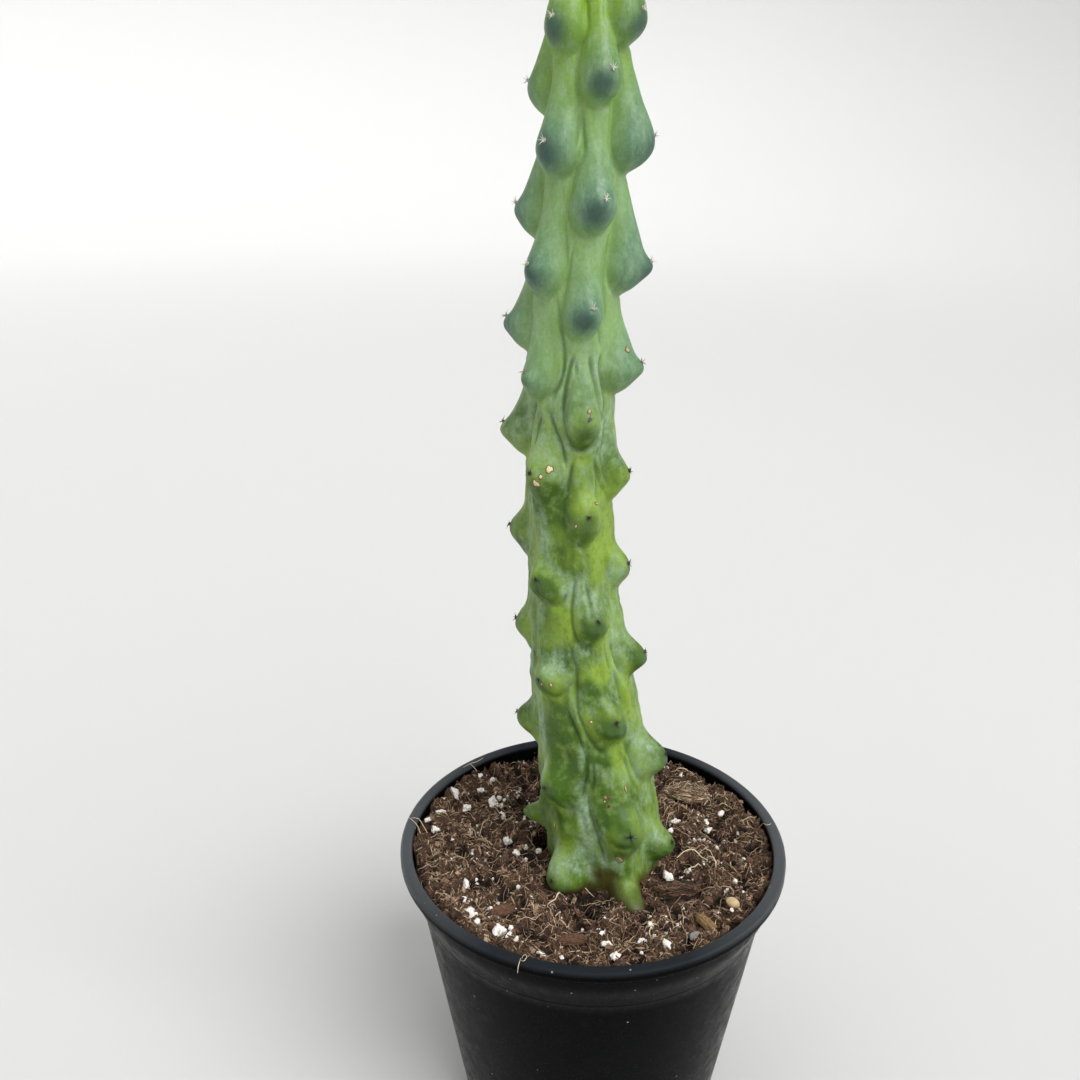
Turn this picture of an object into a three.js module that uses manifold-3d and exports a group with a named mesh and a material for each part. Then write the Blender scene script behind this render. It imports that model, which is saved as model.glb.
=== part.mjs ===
// A potted boobie cactus: one grown stem with knobbly ribs, standing in potting mix in a round nursery pot.
// Units are millimetres and +Z is up. The origin is the centre of the pot's foot, where it stands.
import * as THREE from "three";
import { mergeVertices } from "three/addons/utils/BufferGeometryUtils.js";
import Module from "manifold-3d";

// Driving dimensions of the pot
const POT_HEIGHT = 140;
const RIM_RADIUS = 80; // outer edge of the lip
const MOUTH_RADIUS = 75; // inner edge of the lip
const LIP_DEPTH = 4;
const LIP_ROUND = 0.8; // rounding of the lip's edges
const MOUTH_DEPTH = 5; // how far down the mouth's inner face runs before the wall draws in
const COLLAR_DEPTH = 22; // from the lip's top down to the stacking step
const STEP_RADIUS = 72.5; // outer radius of the collar just above the step
const STEP_OUT = 0.4; // how far the collar stands out over the wall below it
// The collar's flare from the step to the lip: rise above the step and radius gained
const COLLAR_FLARE = [[0.5, 0], [5, 1.6], [11, 4], [17.4, 5.4]];
const WALL_TAPER = 0.163; // radius gained for each millimetre of height
const WALL = 1.4;
const FOOT_HEIGHT = 3; // how far the middle of the base is raised off the surface
const FOOT_WIDTH = 9;
const DRAIN_COUNT = 6;
const DRAIN_RADIUS = 5;
const DRAIN_CIRCLE = 30;
const DRAIN_SIDES = 16;
const POT_SIDES = 60;

// Driving dimensions of the potting mix
const GAP = 0.35; // clearance between a piece and what holds it
const SOIL_LEVEL = 133; // mean height of the surface, seven below the lip
const SOIL_EDGE_DROP = 1; // the surface turns down a little where it meets the wall
const SOIL_RINGS = 11;
// Lumps on the surface: two crossed sets of waves, each with its height and, for either direction across
// it, radians for each millimetre to the right, for each millimetre towards the back, and the phase
const LUMPS = [
  { height: 0.6, along: [0.23, 0, 1.1], across: [0, 0.19, -0.4] },
  { height: 0.42, along: [0.17, 0.41, 2.3], across: [0.33, 0, -0.8] },
];
const HOLLOW = { x: -21, y: 3, depth: 4.5, radius: 7 }; // a dip beside the stem

// Driving dimensions of the stem
const STEM_FOOT = 92; // lowest point of the buried end
const STEM_TOP = 466; // where the crown closes
const CROWN_HEIGHT = 16;
const STEM_FOOT_HEIGHT = 30;
const FOOT_RUN = 1.2; // length along the foot's dome for its height
const CROWN_RUN = 1.3;
const FOOT_BLUNTNESS = 0.8; // below one, a dome is blunter than a ball
const CROWN_BLUNTNESS = 0.9;
const DOME_LEAN = 0.9; // how much of a tubercle's height leans with the dome it stands on
const STEM_SIDES = 42;
const STEM_ROWS = 74;
const BURIED_TO = 112; // below this the stem is a plain rounded end
const BURIED_FADE = 18;
const LEVEL_STEP = 40; // spacing of the stem's measured levels
const FIRST_LEVEL = 80;
// Centre line to the right and towards the back, and the radius between the tubercles, at each level
const CENTRE_X = [6.5, 6.2, 3.2, -2.4, -7.6, -10.6, -11, -9.9, -7.5, -6.6, -6.4];
const CENTRE_Y = -4;
const BODY_RADIUS = [16, 20, 21.5, 20.6, 17.4, 15.2, 14.2, 12.8, 11.4, 9.8, 9];
const TIP_RADIUS = 3; // added to the body radius, where a tubercle's width is measured round the stem
// The flutes between the ribs: shallow on the column, deep on the old base
const FLUTES = { shallow: 0.4, deep: 2.4, from: 190, over: 50, turn: 0.384 };
// Each rib, as its tubercles from the soil up. A tubercle is its azimuth in degrees from the front, positive
// to the right, the height of its tip, how far it stands out and its size against a usual one.
const RIBS = [
  [
    [27, 130.5, 11.5, 0.85], [24, 160, 5.5, 1.5], [27, 208, 5.5, 1.15], [24, 248, 5.5, 1], [21, 288, 6, 1],
    [18, 323, 7, 0.95], [14, 360, 8.5, 0.9], [18, 394, 9.5, 0.98], [21, 432, 9.5, 0.86], [8, 459, 5.5, 0.6],
  ],
  [
    [72, 145.5, 6.5, 0.9], [74, 186, 7.5, 1.15], [76, 229.5, 7, 0.9], [78, 265, 5.5, 0.9], [80, 300.5, 6.5, 0.95],
    [78, 340, 10, 1], [78, 374, 11.5, 1], [76, 413, 12, 1], [60, 449, 10.5, 0.9], [70, 468, 4.5, 0.6],
  ],
  [
    [150, 150, 7, 1.1], [150, 195, 5, 1.05], [150, 243, 5.5, 1], [150, 284, 6, 1], [150, 320, 7, 1],
    [150, 356, 8, 1], [150, 391, 9, 1], [150, 431, 8.5, 0.95], [150, 457, 6.5, 0.8],
  ],
  [
    [-160, 137, 9, 1.1], [-160, 176, 6, 1.05], [-160, 222, 6.5, 1], [-160, 262, 7, 1], [-160, 302, 8, 1],
    [-160, 339, 9, 1], [-160, 374, 10, 1], [-160, 412, 10, 1], [-160, 448, 9, 0.9], [-160, 468, 4.5, 0.6],
  ],
  [
    [-98, 150.5, 8.5, 0.62], [-98, 196, 7.2, 1], [-98, 238, 5, 0.95], [-98, 277, 6, 1], [-98, 316, 8.5, 1],
    [-98, 354, 9.5, 1], [-98, 392, 9.5, 1], [-98, 430, 8.5, 0.95], [-98, 459, 4, 0.7],
  ],
  [
    [-37, 138, 9, 1.2], [-44, 177, 5, 1.15], [-36, 224, 5, 1], [-33, 263, 5.5, 1], [-37, 303, 5.5, 1],
    [-44, 338, 7, 0.92], [-45, 374, 8.5, 1.03], [-37, 412, 9, 1.06], [-36, 447, 8, 0.95], [-36, 467, 4.5, 0.6],
  ],
];
// A full teardrop, at the size of a usual tubercle: its half width and its run below the tip, what an old one
// gains in either, the share of its height that an old one keeps, how it narrows above the tip down to a
// trail, and the share of its height that the trail keeps
const DROP = {
  width: 8.6, down: 10, oldGain: 1, share: 0.24, narrowing: 0.62, pinch: 0.25, trail: 3, oldTrail: 1.6,
  trailShare: 0.16, slope: 1.9, blunt: 0.1, roundness: 0.65, oldRoundness: 0.95,
};
// The neck above the tip: its length on the old skin, and on the young skin for each millimetre of stand
const NECK = { old: 29, youngPerStand: 3.5, from: 330, over: 40 };
// The round knob that an old tubercle shrinks to
const KNOB = { width: 5.9, up: 7.4, down: 5.9, share: 0.9, steepness: 1.45 };
// The flesh that fills the valleys between young tubercles, and how sharply they come out of it
const WEB = { old: 0.3, young: 1.9, from: 290, over: 70, power: 3.5 };
const OLD_BELOW = 235; // tubercles lower than this are knobs
const YOUNG_OVER = 345; // tubercles higher than this are full teardrops
const BLEND_POWER = 6; // how sharply neighbouring tubercles meet

// Loose pieces in the potting mix: x, y and the size across
const PERLITE = [
  [-62, 33, 5], [-52, 38, 3.6], [-46, 44, 3.2], [-66, 16, 3.6], [-67, 6, 3.2], [-56, 23, 3.4],
  [-45, 27, 3.8], [-36, 4, 3.4], [-31, -6, 3.4], [-50, -28, 3.6], [-47, -43, 5], [-33, -54, 4.6],
  [-18, -64, 4], [36, 20, 4.2], [57, 28, 3.6], [63, 13, 3.2], [50, 15, 3.2], [64, -5, 3.2],
  [31, -17, 4.2], [7, -58, 4.2], [20, -56, 3.6], [9, -66, 3.6], [28, -61, 3.8],
];
const PERLITE_SHAPE = { width: 0.88, height: 0.8, turn: 37, roughness: 0.22, sunk: 0.4 };
// Bark chips: x, y, length, width, thickness and the direction of the grain in degrees
const BARK = [
  [-7, -56, 12, 4.6, 2.6, 8], [44, -45, 10, 4.4, 2.4, -58], [-34, -41, 12, 5, 2.8, 24],
];
const PEAT_BLOCK = [33, -26, 19, 6.6, 5, 4];
const COIR_CLUMP = [44, 42, 19, 11, 5, -12];
const PEBBLE = [40, -52, 5.2, 4.4, 3, 30];
const CLAY_GRAIN = [55, -37, 5, 4, 3.4, -20];
// The waves that make a piece uneven: how fast they run along, across and up it, and from piece to piece
const WAVES = { along: 7.3, across: 6.1, up: 5.2, seed: 1.7 };
// How uneven a piece is, as a share of its radius, and how much of its height is sunk in
const FIBROUS = { roughness: 0.12, sunk: 0.45 };
const STONY = { roughness: 0.06, sunk: 0.4 };

const wasm = await Module();
wasm.setup();

// Colour, roughness and metalness of each real material
const finish = (color, roughness, metalness = 0) =>
  new THREE.MeshStandardMaterial({ color, roughness, metalness });
const blackPlastic = finish("#17191b", 0.32);
const cactusSkin = finish("#6b9650", 0.55);
const pottingMix = finish("#3f2b1f", 0.95);
const puffedGlass = finish("#ece9e2", 0.9);
const pineBark = finish("#6f4630", 0.85);
const coir = finish("#8a6444", 0.95);
const greyStone = finish("#8d8782", 0.7);
const palestClay = finish("#cdb98d", 0.8);

// A closed mesh from its corners and faces
function closedMesh(corners, faces) {
  const geometry = new THREE.BufferGeometry();
  geometry.setAttribute("position", new THREE.Float32BufferAttribute(corners, 3));
  geometry.setIndex(faces);
  return geometry;
}

// A geometry as a solid, with the corners that its faces share merged
function solid(geometry) {
  const bare = geometry.clone();
  bare.deleteAttribute("normal");
  bare.deleteAttribute("uv");
  const merged = mergeVertices(bare, 1e-4);
  return new wasm.Manifold(
    new wasm.Mesh({
      numProp: 3,
      vertProperties: new Float32Array(merged.attributes.position.array),
      triVerts: new Uint32Array(merged.index.array),
    }),
  );
}

// A solid back as a geometry
function geometryOf(made) {
  const mesh = made.getMesh();
  return closedMesh(Array.from(mesh.vertProperties), Array.from(mesh.triVerts));
}

// A profile of [radius, height] points turned round the vertical axis
function turned(profile, sides) {
  const points = profile.map(([r, z]) => new THREE.Vector2(r, z));
  return new THREE.LatheGeometry(points, sides).rotateX(Math.PI / 2);
}

// Outer radius of the pot's wall below the step, at a height
const wallRadius = (z) => STEP_RADIUS - STEP_OUT - WALL_TAPER * (POT_HEIGHT - COLLAR_DEPTH - z);
const FOOT_RADIUS = wallRadius(0);
const FOOT_INNER = FOOT_RADIUS - FOOT_WIDTH;

// Points on the inside of the pot, from the middle of its floor up to the mouth, drawn in by a clearance
function insideProfile(clear) {
  const floor = WALL + clear;
  return [
    [0, FOOT_HEIGHT + floor],
    [FOOT_INNER - clear, FOOT_HEIGHT + floor],
    [FOOT_INNER + FOOT_HEIGHT - clear / 2, floor],
    [wallRadius(floor) - WALL - clear, floor],
    [wallRadius(POT_HEIGHT - COLLAR_DEPTH) - WALL - clear, POT_HEIGHT - COLLAR_DEPTH],
  ];
}

// The pot: a raised base with drain holes, a tapered wall, a collar that flares to a rolled lip
function pot() {
  const step = POT_HEIGHT - COLLAR_DEPTH;
  const underLip = POT_HEIGHT - LIP_DEPTH;
  const profile = [
    [0, FOOT_HEIGHT],
    [FOOT_INNER - FOOT_HEIGHT / 2, FOOT_HEIGHT],
    [FOOT_INNER, 0],
    [FOOT_RADIUS - LIP_ROUND, 0],
    [wallRadius(LIP_ROUND), LIP_ROUND],
    [wallRadius(step / 2), step / 2],
    [wallRadius(step), step],
    ...COLLAR_FLARE.map(([rise, gained]) => [STEP_RADIUS + gained, step + rise]),
    [RIM_RADIUS - LIP_ROUND, underLip - LIP_ROUND / 2],
    [RIM_RADIUS, underLip + LIP_ROUND],
    [RIM_RADIUS, POT_HEIGHT - 2 * LIP_ROUND],
    [RIM_RADIUS - LIP_ROUND / 2, POT_HEIGHT - LIP_ROUND / 2],
    [RIM_RADIUS - 2 * LIP_ROUND, POT_HEIGHT],
    [MOUTH_RADIUS + LIP_ROUND, POT_HEIGHT],
    [MOUTH_RADIUS, POT_HEIGHT - LIP_ROUND],
    [MOUTH_RADIUS, POT_HEIGHT - MOUTH_DEPTH],
    ...insideProfile(0).reverse(),
  ];
  let body = solid(turned(profile, POT_SIDES));
  for (let i = 0; i < DRAIN_COUNT; i++) {
    const turn = ((i + 0.5) / DRAIN_COUNT) * 2 * Math.PI;
    const hole = new THREE.CylinderGeometry(DRAIN_RADIUS, DRAIN_RADIUS, 4 * FOOT_HEIGHT, DRAIN_SIDES)
      .rotateX(Math.PI / 2)
      .translate(DRAIN_CIRCLE * Math.cos(turn), DRAIN_CIRCLE * Math.sin(turn), FOOT_HEIGHT);
    body = body.subtract(solid(hole));
  }
  return geometryOf(body);
}

// A smooth curve through values at evenly spaced levels
function atLevel(values, z) {
  const last = values.length - 1;
  const t = Math.min(Math.max((z - FIRST_LEVEL) / LEVEL_STEP, 0), last - 1e-9);
  const i = Math.floor(t);
  const f = t - i;
  const [a, b, c, d] = [-1, 0, 1, 2].map((k) => values[Math.min(Math.max(i + k, 0), last)]);
  return b + 0.5 * f * (c - a + f * (2 * a - 5 * b + 4 * c - d + f * (3 * (b - c) + d - a)));
}

const clamp = (value, low = 0, high = 1) => Math.min(Math.max(value, low), high);

// Zero below 0 and one above 1, with a smooth rise between them
function ease(value) {
  const t = clamp(value);
  return t * t * (3 - 2 * t);
}

// How far one tubercle stands out of the stem, at u round the stem and v above the tubercle's tip
function tubercleHeight(u, v, tip, stands, size) {
  const young = ease((tip - OLD_BELOW) / (YOUNG_OVER - OLD_BELOW));
  const blend = (old, full) => old + (full - old) * young;
  const neck = NECK.old + (NECK.youngPerStand * stands - NECK.old) * ease((tip - NECK.from) / NECK.over);
  const width = blend(DROP.width + DROP.oldGain, DROP.width) * size;
  const down = blend(DROP.down + DROP.oldGain, DROP.down) * size;
  const t = clamp(v / neck);
  const trail = blend(DROP.oldTrail, DROP.trail) * t;
  const widthAbove = width * (1 - t) ** DROP.narrowing * (1 - DROP.pinch * t) + trail;
  const rho = v > 0 ? Math.abs(u) / widthAbove : Math.hypot(u / width, v / down);
  const blunted = (Math.hypot(t, DROP.blunt) - DROP.blunt) / (Math.hypot(1, DROP.blunt) - DROP.blunt);
  const above = (1 - DROP.trailShare) * (1 - blunted) ** DROP.slope + (t < 1 ? DROP.trailShare : 0);
  const fall = v > 0 ? above : 1;
  const roundness = blend(DROP.oldRoundness, DROP.roundness);
  const drop = blend(DROP.share, 1) * fall * clamp(1 - rho * rho) ** roundness;
  const reach = (v > 0 ? KNOB.up : KNOB.down) * size;
  const swell = (u / (KNOB.width * size)) ** 2 + (v / reach) ** 2;
  const knob = (1 - young) * KNOB.share * Math.exp(-(swell ** KNOB.steepness));
  return stands * (drop + knob);
}

// How far the ribs stand out of the stem at an azimuth and a height
function ribHeight(theta, z) {
  let sum = 0;
  for (const [azimuth, tip, stands, size] of RIBS.flat()) {
    const turn = theta - THREE.MathUtils.degToRad(azimuth);
    const off = THREE.MathUtils.euclideanModulo(turn + Math.PI, 2 * Math.PI) - Math.PI;
    const u = off * (atLevel(BODY_RADIUS, tip) + TIP_RADIUS);
    sum += tubercleHeight(u, z - tip, tip, stands, size) ** BLEND_POWER;
  }
  const ribs = sum ** (1 / BLEND_POWER);
  const web = WEB.old + WEB.young * ease((z - WEB.from) / WEB.over);
  return (ribs ** WEB.power + web ** WEB.power) ** (1 / WEB.power);
}

// The stem: a body of changing radius round a bent centre line, with the ribs standing out of it.
// Both ends close in a dome. A clearance makes a larger stem, for the hollow that it leaves in the soil.
function stem(clear = 0) {
  const straight = STEM_TOP - CROWN_HEIGHT - STEM_FOOT - STEM_FOOT_HEIGHT;
  const footRun = FOOT_RUN * STEM_FOOT_HEIGHT;
  const crownRun = CROWN_RUN * CROWN_HEIGHT;
  const corners = [];
  for (let row = 0; row <= STEM_ROWS; row++) {
    const s = (row / STEM_ROWS) * (footRun + straight + crownRun);
    const foot = (clamp(s / footRun) * Math.PI) / 2;
    const crown = (clamp((s - footRun - straight) / crownRun) * Math.PI) / 2;
    const rise = STEM_FOOT_HEIGHT * (1 - Math.cos(foot)) + CROWN_HEIGHT * Math.sin(crown);
    const z = STEM_FOOT + rise + clamp(s - footRun, 0, straight);
    const share = Math.sin(foot) ** FOOT_BLUNTNESS * Math.max(Math.cos(crown), 0) ** CROWN_BLUNTNESS;
    const tilt = crown - (Math.PI / 2 - foot);
    const bare = clamp((z - BURIED_TO) / BURIED_FADE);
    const flutes = FLUTES.shallow + FLUTES.deep * clamp((FLUTES.from - z) / FLUTES.over);
    const atPole = row === 0 || row === STEM_ROWS;
    for (let side = 0; side < (atPole ? 1 : STEM_SIDES); side++) {
      const theta = (side / STEM_SIDES) * 2 * Math.PI;
      const swell = flutes * (0.5 + 0.5 * Math.cos(RIBS.length * (theta - FLUTES.turn)));
      const out = atPole ? 0 : (ribHeight(theta, z) + swell * share) * bare;
      const r = atPole ? 0 : atLevel(BODY_RADIUS, z) * share + (out + clear) * Math.cos(tilt);
      corners.push(
        atLevel(CENTRE_X, z) + r * Math.sin(theta),
        CENTRE_Y - r * Math.cos(theta),
        z + (DOME_LEAN * out + clear) * Math.sin(tilt),
      );
    }
  }
  return closedMesh(corners, ringFaces(STEM_ROWS - 1, STEM_SIDES));
}

// Faces of a stack of rings with one corner below the first ring and one above the last
function ringFaces(rings, sides) {
  const faces = [];
  const top = 1 + rings * sides;
  for (let side = 0; side < sides; side++) {
    const next = (side + 1) % sides;
    faces.push(0, 1 + next, 1 + side);
    for (let ring = 0; ring < rings - 1; ring++) {
      const low = 1 + ring * sides;
      const high = low + sides;
      faces.push(low + side, low + next, high + next, low + side, high + next, high + side);
    }
    const last = 1 + (rings - 1) * sides;
    faces.push(last + side, last + next, top);
  }
  return faces;
}

// Height of the potting mix, with its lumps and the dip beside the stem
function soilHeight(x, y) {
  const phase = ([right, back, start]) => right * x + back * y + start;
  const lumps = LUMPS.map((set) => set.height * Math.sin(phase(set.along)) * Math.cos(phase(set.across)));
  const away = Math.hypot(x - HOLLOW.x, y - HOLLOW.y) / HOLLOW.radius;
  return SOIL_LEVEL + lumps[0] + lumps[1] - HOLLOW.depth * Math.exp(-away * away);
}

// The potting mix: it fills the pot up to its uneven surface, and holds a hollow for each piece in it
function soil(buried) {
  const inside = insideProfile(GAP);
  inside.push([MOUTH_RADIUS - WALL - GAP, SOIL_LEVEL - 2 * SOIL_EDGE_DROP]);
  const corners = [0, 0, inside[0][1]];
  for (const [r, z] of inside.slice(1))
    for (let side = 0; side < POT_SIDES; side++) {
      const turn = (side / POT_SIDES) * 2 * Math.PI;
      corners.push(r * Math.sin(turn), -r * Math.cos(turn), z);
    }
  const edge = inside[inside.length - 1][0];
  for (let ring = 0; ring < SOIL_RINGS; ring++)
    for (let side = 0; side < POT_SIDES; side++) {
      const turn = (side / POT_SIDES) * 2 * Math.PI;
      const r = edge * (1 - ring / SOIL_RINGS);
      const [x, y] = [r * Math.sin(turn), -r * Math.cos(turn)];
      corners.push(x, y, soilHeight(x, y) - (ring === 0 ? SOIL_EDGE_DROP : 0));
    }
  corners.push(0, 0, soilHeight(0, 0));
  const rings = inside.length - 1 + SOIL_RINGS;
  let body = solid(closedMesh(corners, ringFaces(rings, POT_SIDES)));
  for (const piece of buried) body = body.subtract(solid(piece));
  return geometryOf(body);
}

// An uneven lump: a faceted ball, each corner moved in or out, stretched to length, width and height.
// It lies on the potting mix with a share of its height sunk in.
function lump([x, y, length, width, height, direction], { roughness, sunk }, clear) {
  const ball = new THREE.IcosahedronGeometry(1, 1);
  ball.deleteAttribute("normal");
  ball.deleteAttribute("uv");
  const geometry = mergeVertices(ball, 1e-4);
  const place = geometry.attributes.position;
  const corner = new THREE.Vector3();
  for (let i = 0; i < place.count; i++) {
    corner.fromBufferAttribute(place, i);
    const one = Math.sin(WAVES.along * corner.x + WAVES.seed * x);
    const other = Math.cos(WAVES.across * corner.y + WAVES.up * corner.z + y);
    corner.multiplyScalar(1 + roughness * one * other);
    place.setXYZ(
      i,
      corner.x * (length / 2 + clear),
      corner.y * (width / 2 + clear),
      corner.z * (height / 2 + clear),
    );
  }
  return geometry
    .rotateZ(THREE.MathUtils.degToRad(direction))
    .translate(x, y, soilHeight(x, y) + height * (0.5 - sunk));
}

// A grain of perlite is a small lump, each turned a little further round than the last
function perliteGrain([x, y, size], i, clear) {
  const { width, height, turn } = PERLITE_SHAPE;
  return lump([x, y, size, size * width, size * height, turn * i], PERLITE_SHAPE, clear);
}

// Every loose piece in the potting mix: its name, its finish and its shape for a clearance
const loosePieces = [
  ...PERLITE.map((grain, i) => ({
    name: "perlite_grain_" + String(i + 1).padStart(2, "0"),
    material: puffedGlass,
    shape: (clear) => perliteGrain(grain, i, clear),
  })),
  ...BARK.map((chip, i) => ({
    name: "bark_chip_" + (i + 1),
    material: pineBark,
    shape: (clear) => lump(chip, FIBROUS, clear),
  })),
  { name: "peat_block", material: coir, shape: (clear) => lump(PEAT_BLOCK, FIBROUS, clear) },
  { name: "coir_clump", material: coir, shape: (clear) => lump(COIR_CLUMP, FIBROUS, clear) },
  { name: "pebble", material: greyStone, shape: (clear) => lump(PEBBLE, STONY, clear) },
  { name: "clay_grain", material: palestClay, shape: (clear) => lump(CLAY_GRAIN, STONY, clear) },
];

const pottedCactus = new THREE.Group();

function add(name, geometry, material) {
  const mesh = new THREE.Mesh(geometry, material);
  mesh.name = name;
  pottedCactus.add(mesh);
}

add("nursery_pot", pot(), blackPlastic);
add("cactus_stem", stem(), cactusSkin);
add("potting_mix", soil([stem(GAP), ...loosePieces.map((piece) => piece.shape(GAP))]), pottingMix);
for (const piece of loosePieces) add(piece.name, piece.shape(0), piece.material);

export default pottedCactus;
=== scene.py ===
"""A potted boobie cactus: one grown column of ribs and plump knobs, in a black nursery pot of peat mix."""
import math

import bpy
import numpy as np
from mathutils import Matrix


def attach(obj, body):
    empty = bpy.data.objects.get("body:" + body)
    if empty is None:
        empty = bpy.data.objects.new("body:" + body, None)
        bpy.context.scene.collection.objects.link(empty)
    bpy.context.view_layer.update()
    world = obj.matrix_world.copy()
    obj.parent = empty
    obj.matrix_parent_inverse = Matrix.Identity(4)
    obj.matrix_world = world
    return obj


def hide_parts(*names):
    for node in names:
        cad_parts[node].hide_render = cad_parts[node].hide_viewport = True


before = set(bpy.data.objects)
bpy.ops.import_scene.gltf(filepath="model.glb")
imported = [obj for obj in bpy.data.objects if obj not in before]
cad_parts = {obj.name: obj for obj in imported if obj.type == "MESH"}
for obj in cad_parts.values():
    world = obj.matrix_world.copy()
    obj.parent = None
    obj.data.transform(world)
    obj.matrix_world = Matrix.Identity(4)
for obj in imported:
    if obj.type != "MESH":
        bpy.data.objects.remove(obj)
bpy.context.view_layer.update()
MM = 0.001


# The pot is one moulding of black polypropylene: a rolled lip, a flared collar that ends in a stacking step,
# a thin tapered wall, and a base on a low foot ring with six drain holes. Everything else stands in it.
RIM_RADIUS = 80.0
RIM_HEIGHT = 140.0
MOUTH_RADIUS = 75.0
MOUTH_FLOOR = 135.0
LIP_UNDERSIDE = 136.0
LIP_OUTER_ROUND = 1.5
LIP_INNER_ROUND = 1.3
STEP_HEIGHT = 118.0
STEP_RADIUS = 72.1
STEP_BEAD = 0.3
BEAD_HEIGHT = 0.25
BEAD_ROUND = 0.6
COLLAR = [(118.6, 72.5), (123.0, 74.1), (129.0, 76.5), (135.4, 77.9)]
TAPER = 0.163
WALL = 1.4
BASE_HEIGHT = 3.0
BASE_RINGS = (18, 40)
FOOT_INNER = 43.87
FOOT_ROUND = 0.8
FLOOR_ROUND = 1.2
FLOOR_CORNER = 1.4
LIP_EDGE_ROUND = 0.6
LIP_EDGE_WIDTH = 1.6
DRAIN_CIRCLE = 30.0
DRAIN_RADIUS = 5.0
DRAIN_COUNT = 6
PUNCH_BOTTOM = 1
PUNCH_TOP = 6
PUNCH_SIDES = 40
POT_SIDES = 240


def linear(code):
    """An sRGB hex colour as linear red, green, blue and an alpha of one, by the sRGB curve."""
    values = [int(code[i:i + 2], 16) / 255 for i in (1, 3, 5)]
    return [v / 12.92 if v <= 0.04045 else ((v + 0.055) / 1.055) ** 2.4 for v in values] + [1.0]


def plug(node, inputs):
    """Fills a node's sockets by name: an output is linked to its socket, and a number or colour is set on
    it. A node given as a value stands for its first output."""
    for name, value in inputs.items():
        if isinstance(value, bpy.types.Node):
            value = value.outputs[0]
        if isinstance(value, bpy.types.NodeSocket):
            node.id_data.links.new(value, node.inputs[name])
        elif isinstance(value, str):
            node.inputs[name].default_value = linear(value)
        else:
            node.inputs[name].default_value = value


def put(material, kind, inputs, **settings):
    """Adds a node of a kind to a material, with its settings and what goes into its sockets."""
    node = material.node_tree.nodes.new("ShaderNode" + kind)
    for name, value in settings.items():
        setattr(node, name, value)
    plug(node, inputs)
    return node


def every(size):
    """The scale of a texture whose marks lie about so many millimetres apart: one over that in metres."""
    return 1 / (size * MM)


def start_material(name):
    """A new material, its shader, and its place on the object in metres."""
    material = bpy.data.materials.new(name)
    material.use_nodes = True
    shader = material.node_tree.nodes["Principled BSDF"]
    return material, shader, put(material, "TexCoord", {}).outputs["Object"]


def closed_faces(rings, sides):
    """Quads between rings of points, and triangles that close the first and last ring on an end point each.
    The two end points come after the rings. Faces point outward if the sides run anticlockwise, going up."""
    here = np.arange(rings * sides).reshape(rings, sides)
    beside = np.roll(here, -1, axis=1)
    quads = np.stack([here[:-1], beside[:-1], beside[1:], here[1:]], axis=-1).reshape(-1, 4)
    first = np.stack([np.full(sides, rings * sides), beside[0], here[0]], axis=1)
    last = np.stack([here[-1], beside[-1], np.full(sides, rings * sides + 1)], axis=1)
    return [quads, np.concatenate([first, last])]


def make_mesh(name, points, faces, smooth=True):
    """A mesh from points in millimetres and arrays of faces, each a row of its corners' numbers."""
    mesh = bpy.data.meshes.new(name)
    mesh.from_pydata((points * MM).tolist(), [], [face for kind in faces for face in kind.tolist()])
    mesh.polygons.foreach_set("use_smooth", [smooth] * len(mesh.polygons))
    return mesh


def add_object(name, data):
    """An object in the scene that shows a mesh, a lamp or a camera."""
    shown = bpy.data.objects.new(name, data)
    bpy.context.scene.collection.objects.link(shown)
    return shown


def make_piece(name, points, faces, material, slot, smooth=True):
    """A piece of one or more copies of a closed shape. The points are in millimetres, copy by copy."""
    points = points if points.ndim == 3 else points[None]
    offset = (np.arange(len(points)) * points.shape[1])[:, None, None]
    copied = [(kind[None] + offset).reshape(-1, kind.shape[1]) for kind in faces]
    piece = add_object(name, make_mesh(name, points.reshape(-1, 3), copied, smooth))
    piece.data.materials.append(material)
    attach(piece, "root")
    return piece


def paint(piece, name, values):
    """Keeps numbers on a piece's points, which its material reads by name. Each goes to an equal run of
    points."""
    run = len(piece.data.vertices) // len(values)
    attribute = piece.data.attributes.new(name, "FLOAT", "POINT")
    attribute.data.foreach_set("value", np.repeat(np.asarray(values, np.float32), run))


def arc(radius, height, round_off, start, stop, steps=6):
    """Points round a centre at a radius and a height, between two angles in degrees from outward."""
    turn = np.radians(np.linspace(start, stop, steps))
    return np.stack([radius + round_off * np.cos(turn), height + round_off * np.sin(turn)], axis=1)


def curve(points, steps):
    """A smooth line through points: between each two, a Catmull-Rom cubic in so many steps."""
    points = np.array(points, float)
    key = np.linspace(0, len(points) - 1, (len(points) - 1) * steps + 1)
    i = np.minimum(key.astype(int), len(points) - 2)
    t = (key - i)[:, None]
    a, b = points[np.maximum(i - 1, 0)], points[i]
    c, d = points[i + 1], points[np.minimum(i + 2, len(points) - 1)]
    return b + 0.5 * t * (c - a + t * (2 * a - 5 * b + 4 * c - d + t * (3 * (b - c) + d - a)))


def lathe(outline, sides):
    """Turns an outline of radius and height about the upright axis. Its two ends lie on the axis."""
    turn = np.linspace(0, 2 * np.pi, sides, endpoint=False)
    radius, height = outline[1:-1, 0][:, None], outline[1:-1, 1][:, None]
    rings = np.stack([radius * np.cos(turn), radius * np.sin(turn), height + 0 * turn], axis=-1)
    ends = np.array([[0, 0, outline[0, 1]], [0, 0, outline[-1, 1]]])
    return np.concatenate([rings.reshape(-1, 3), ends]), closed_faces(len(outline) - 2, sides)


def wall_radius(height):
    """The wall's outer radius, which shrinks by the taper for each millimetre below the step."""
    return STEP_RADIUS - TAPER * (STEP_HEIGHT - height)


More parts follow.
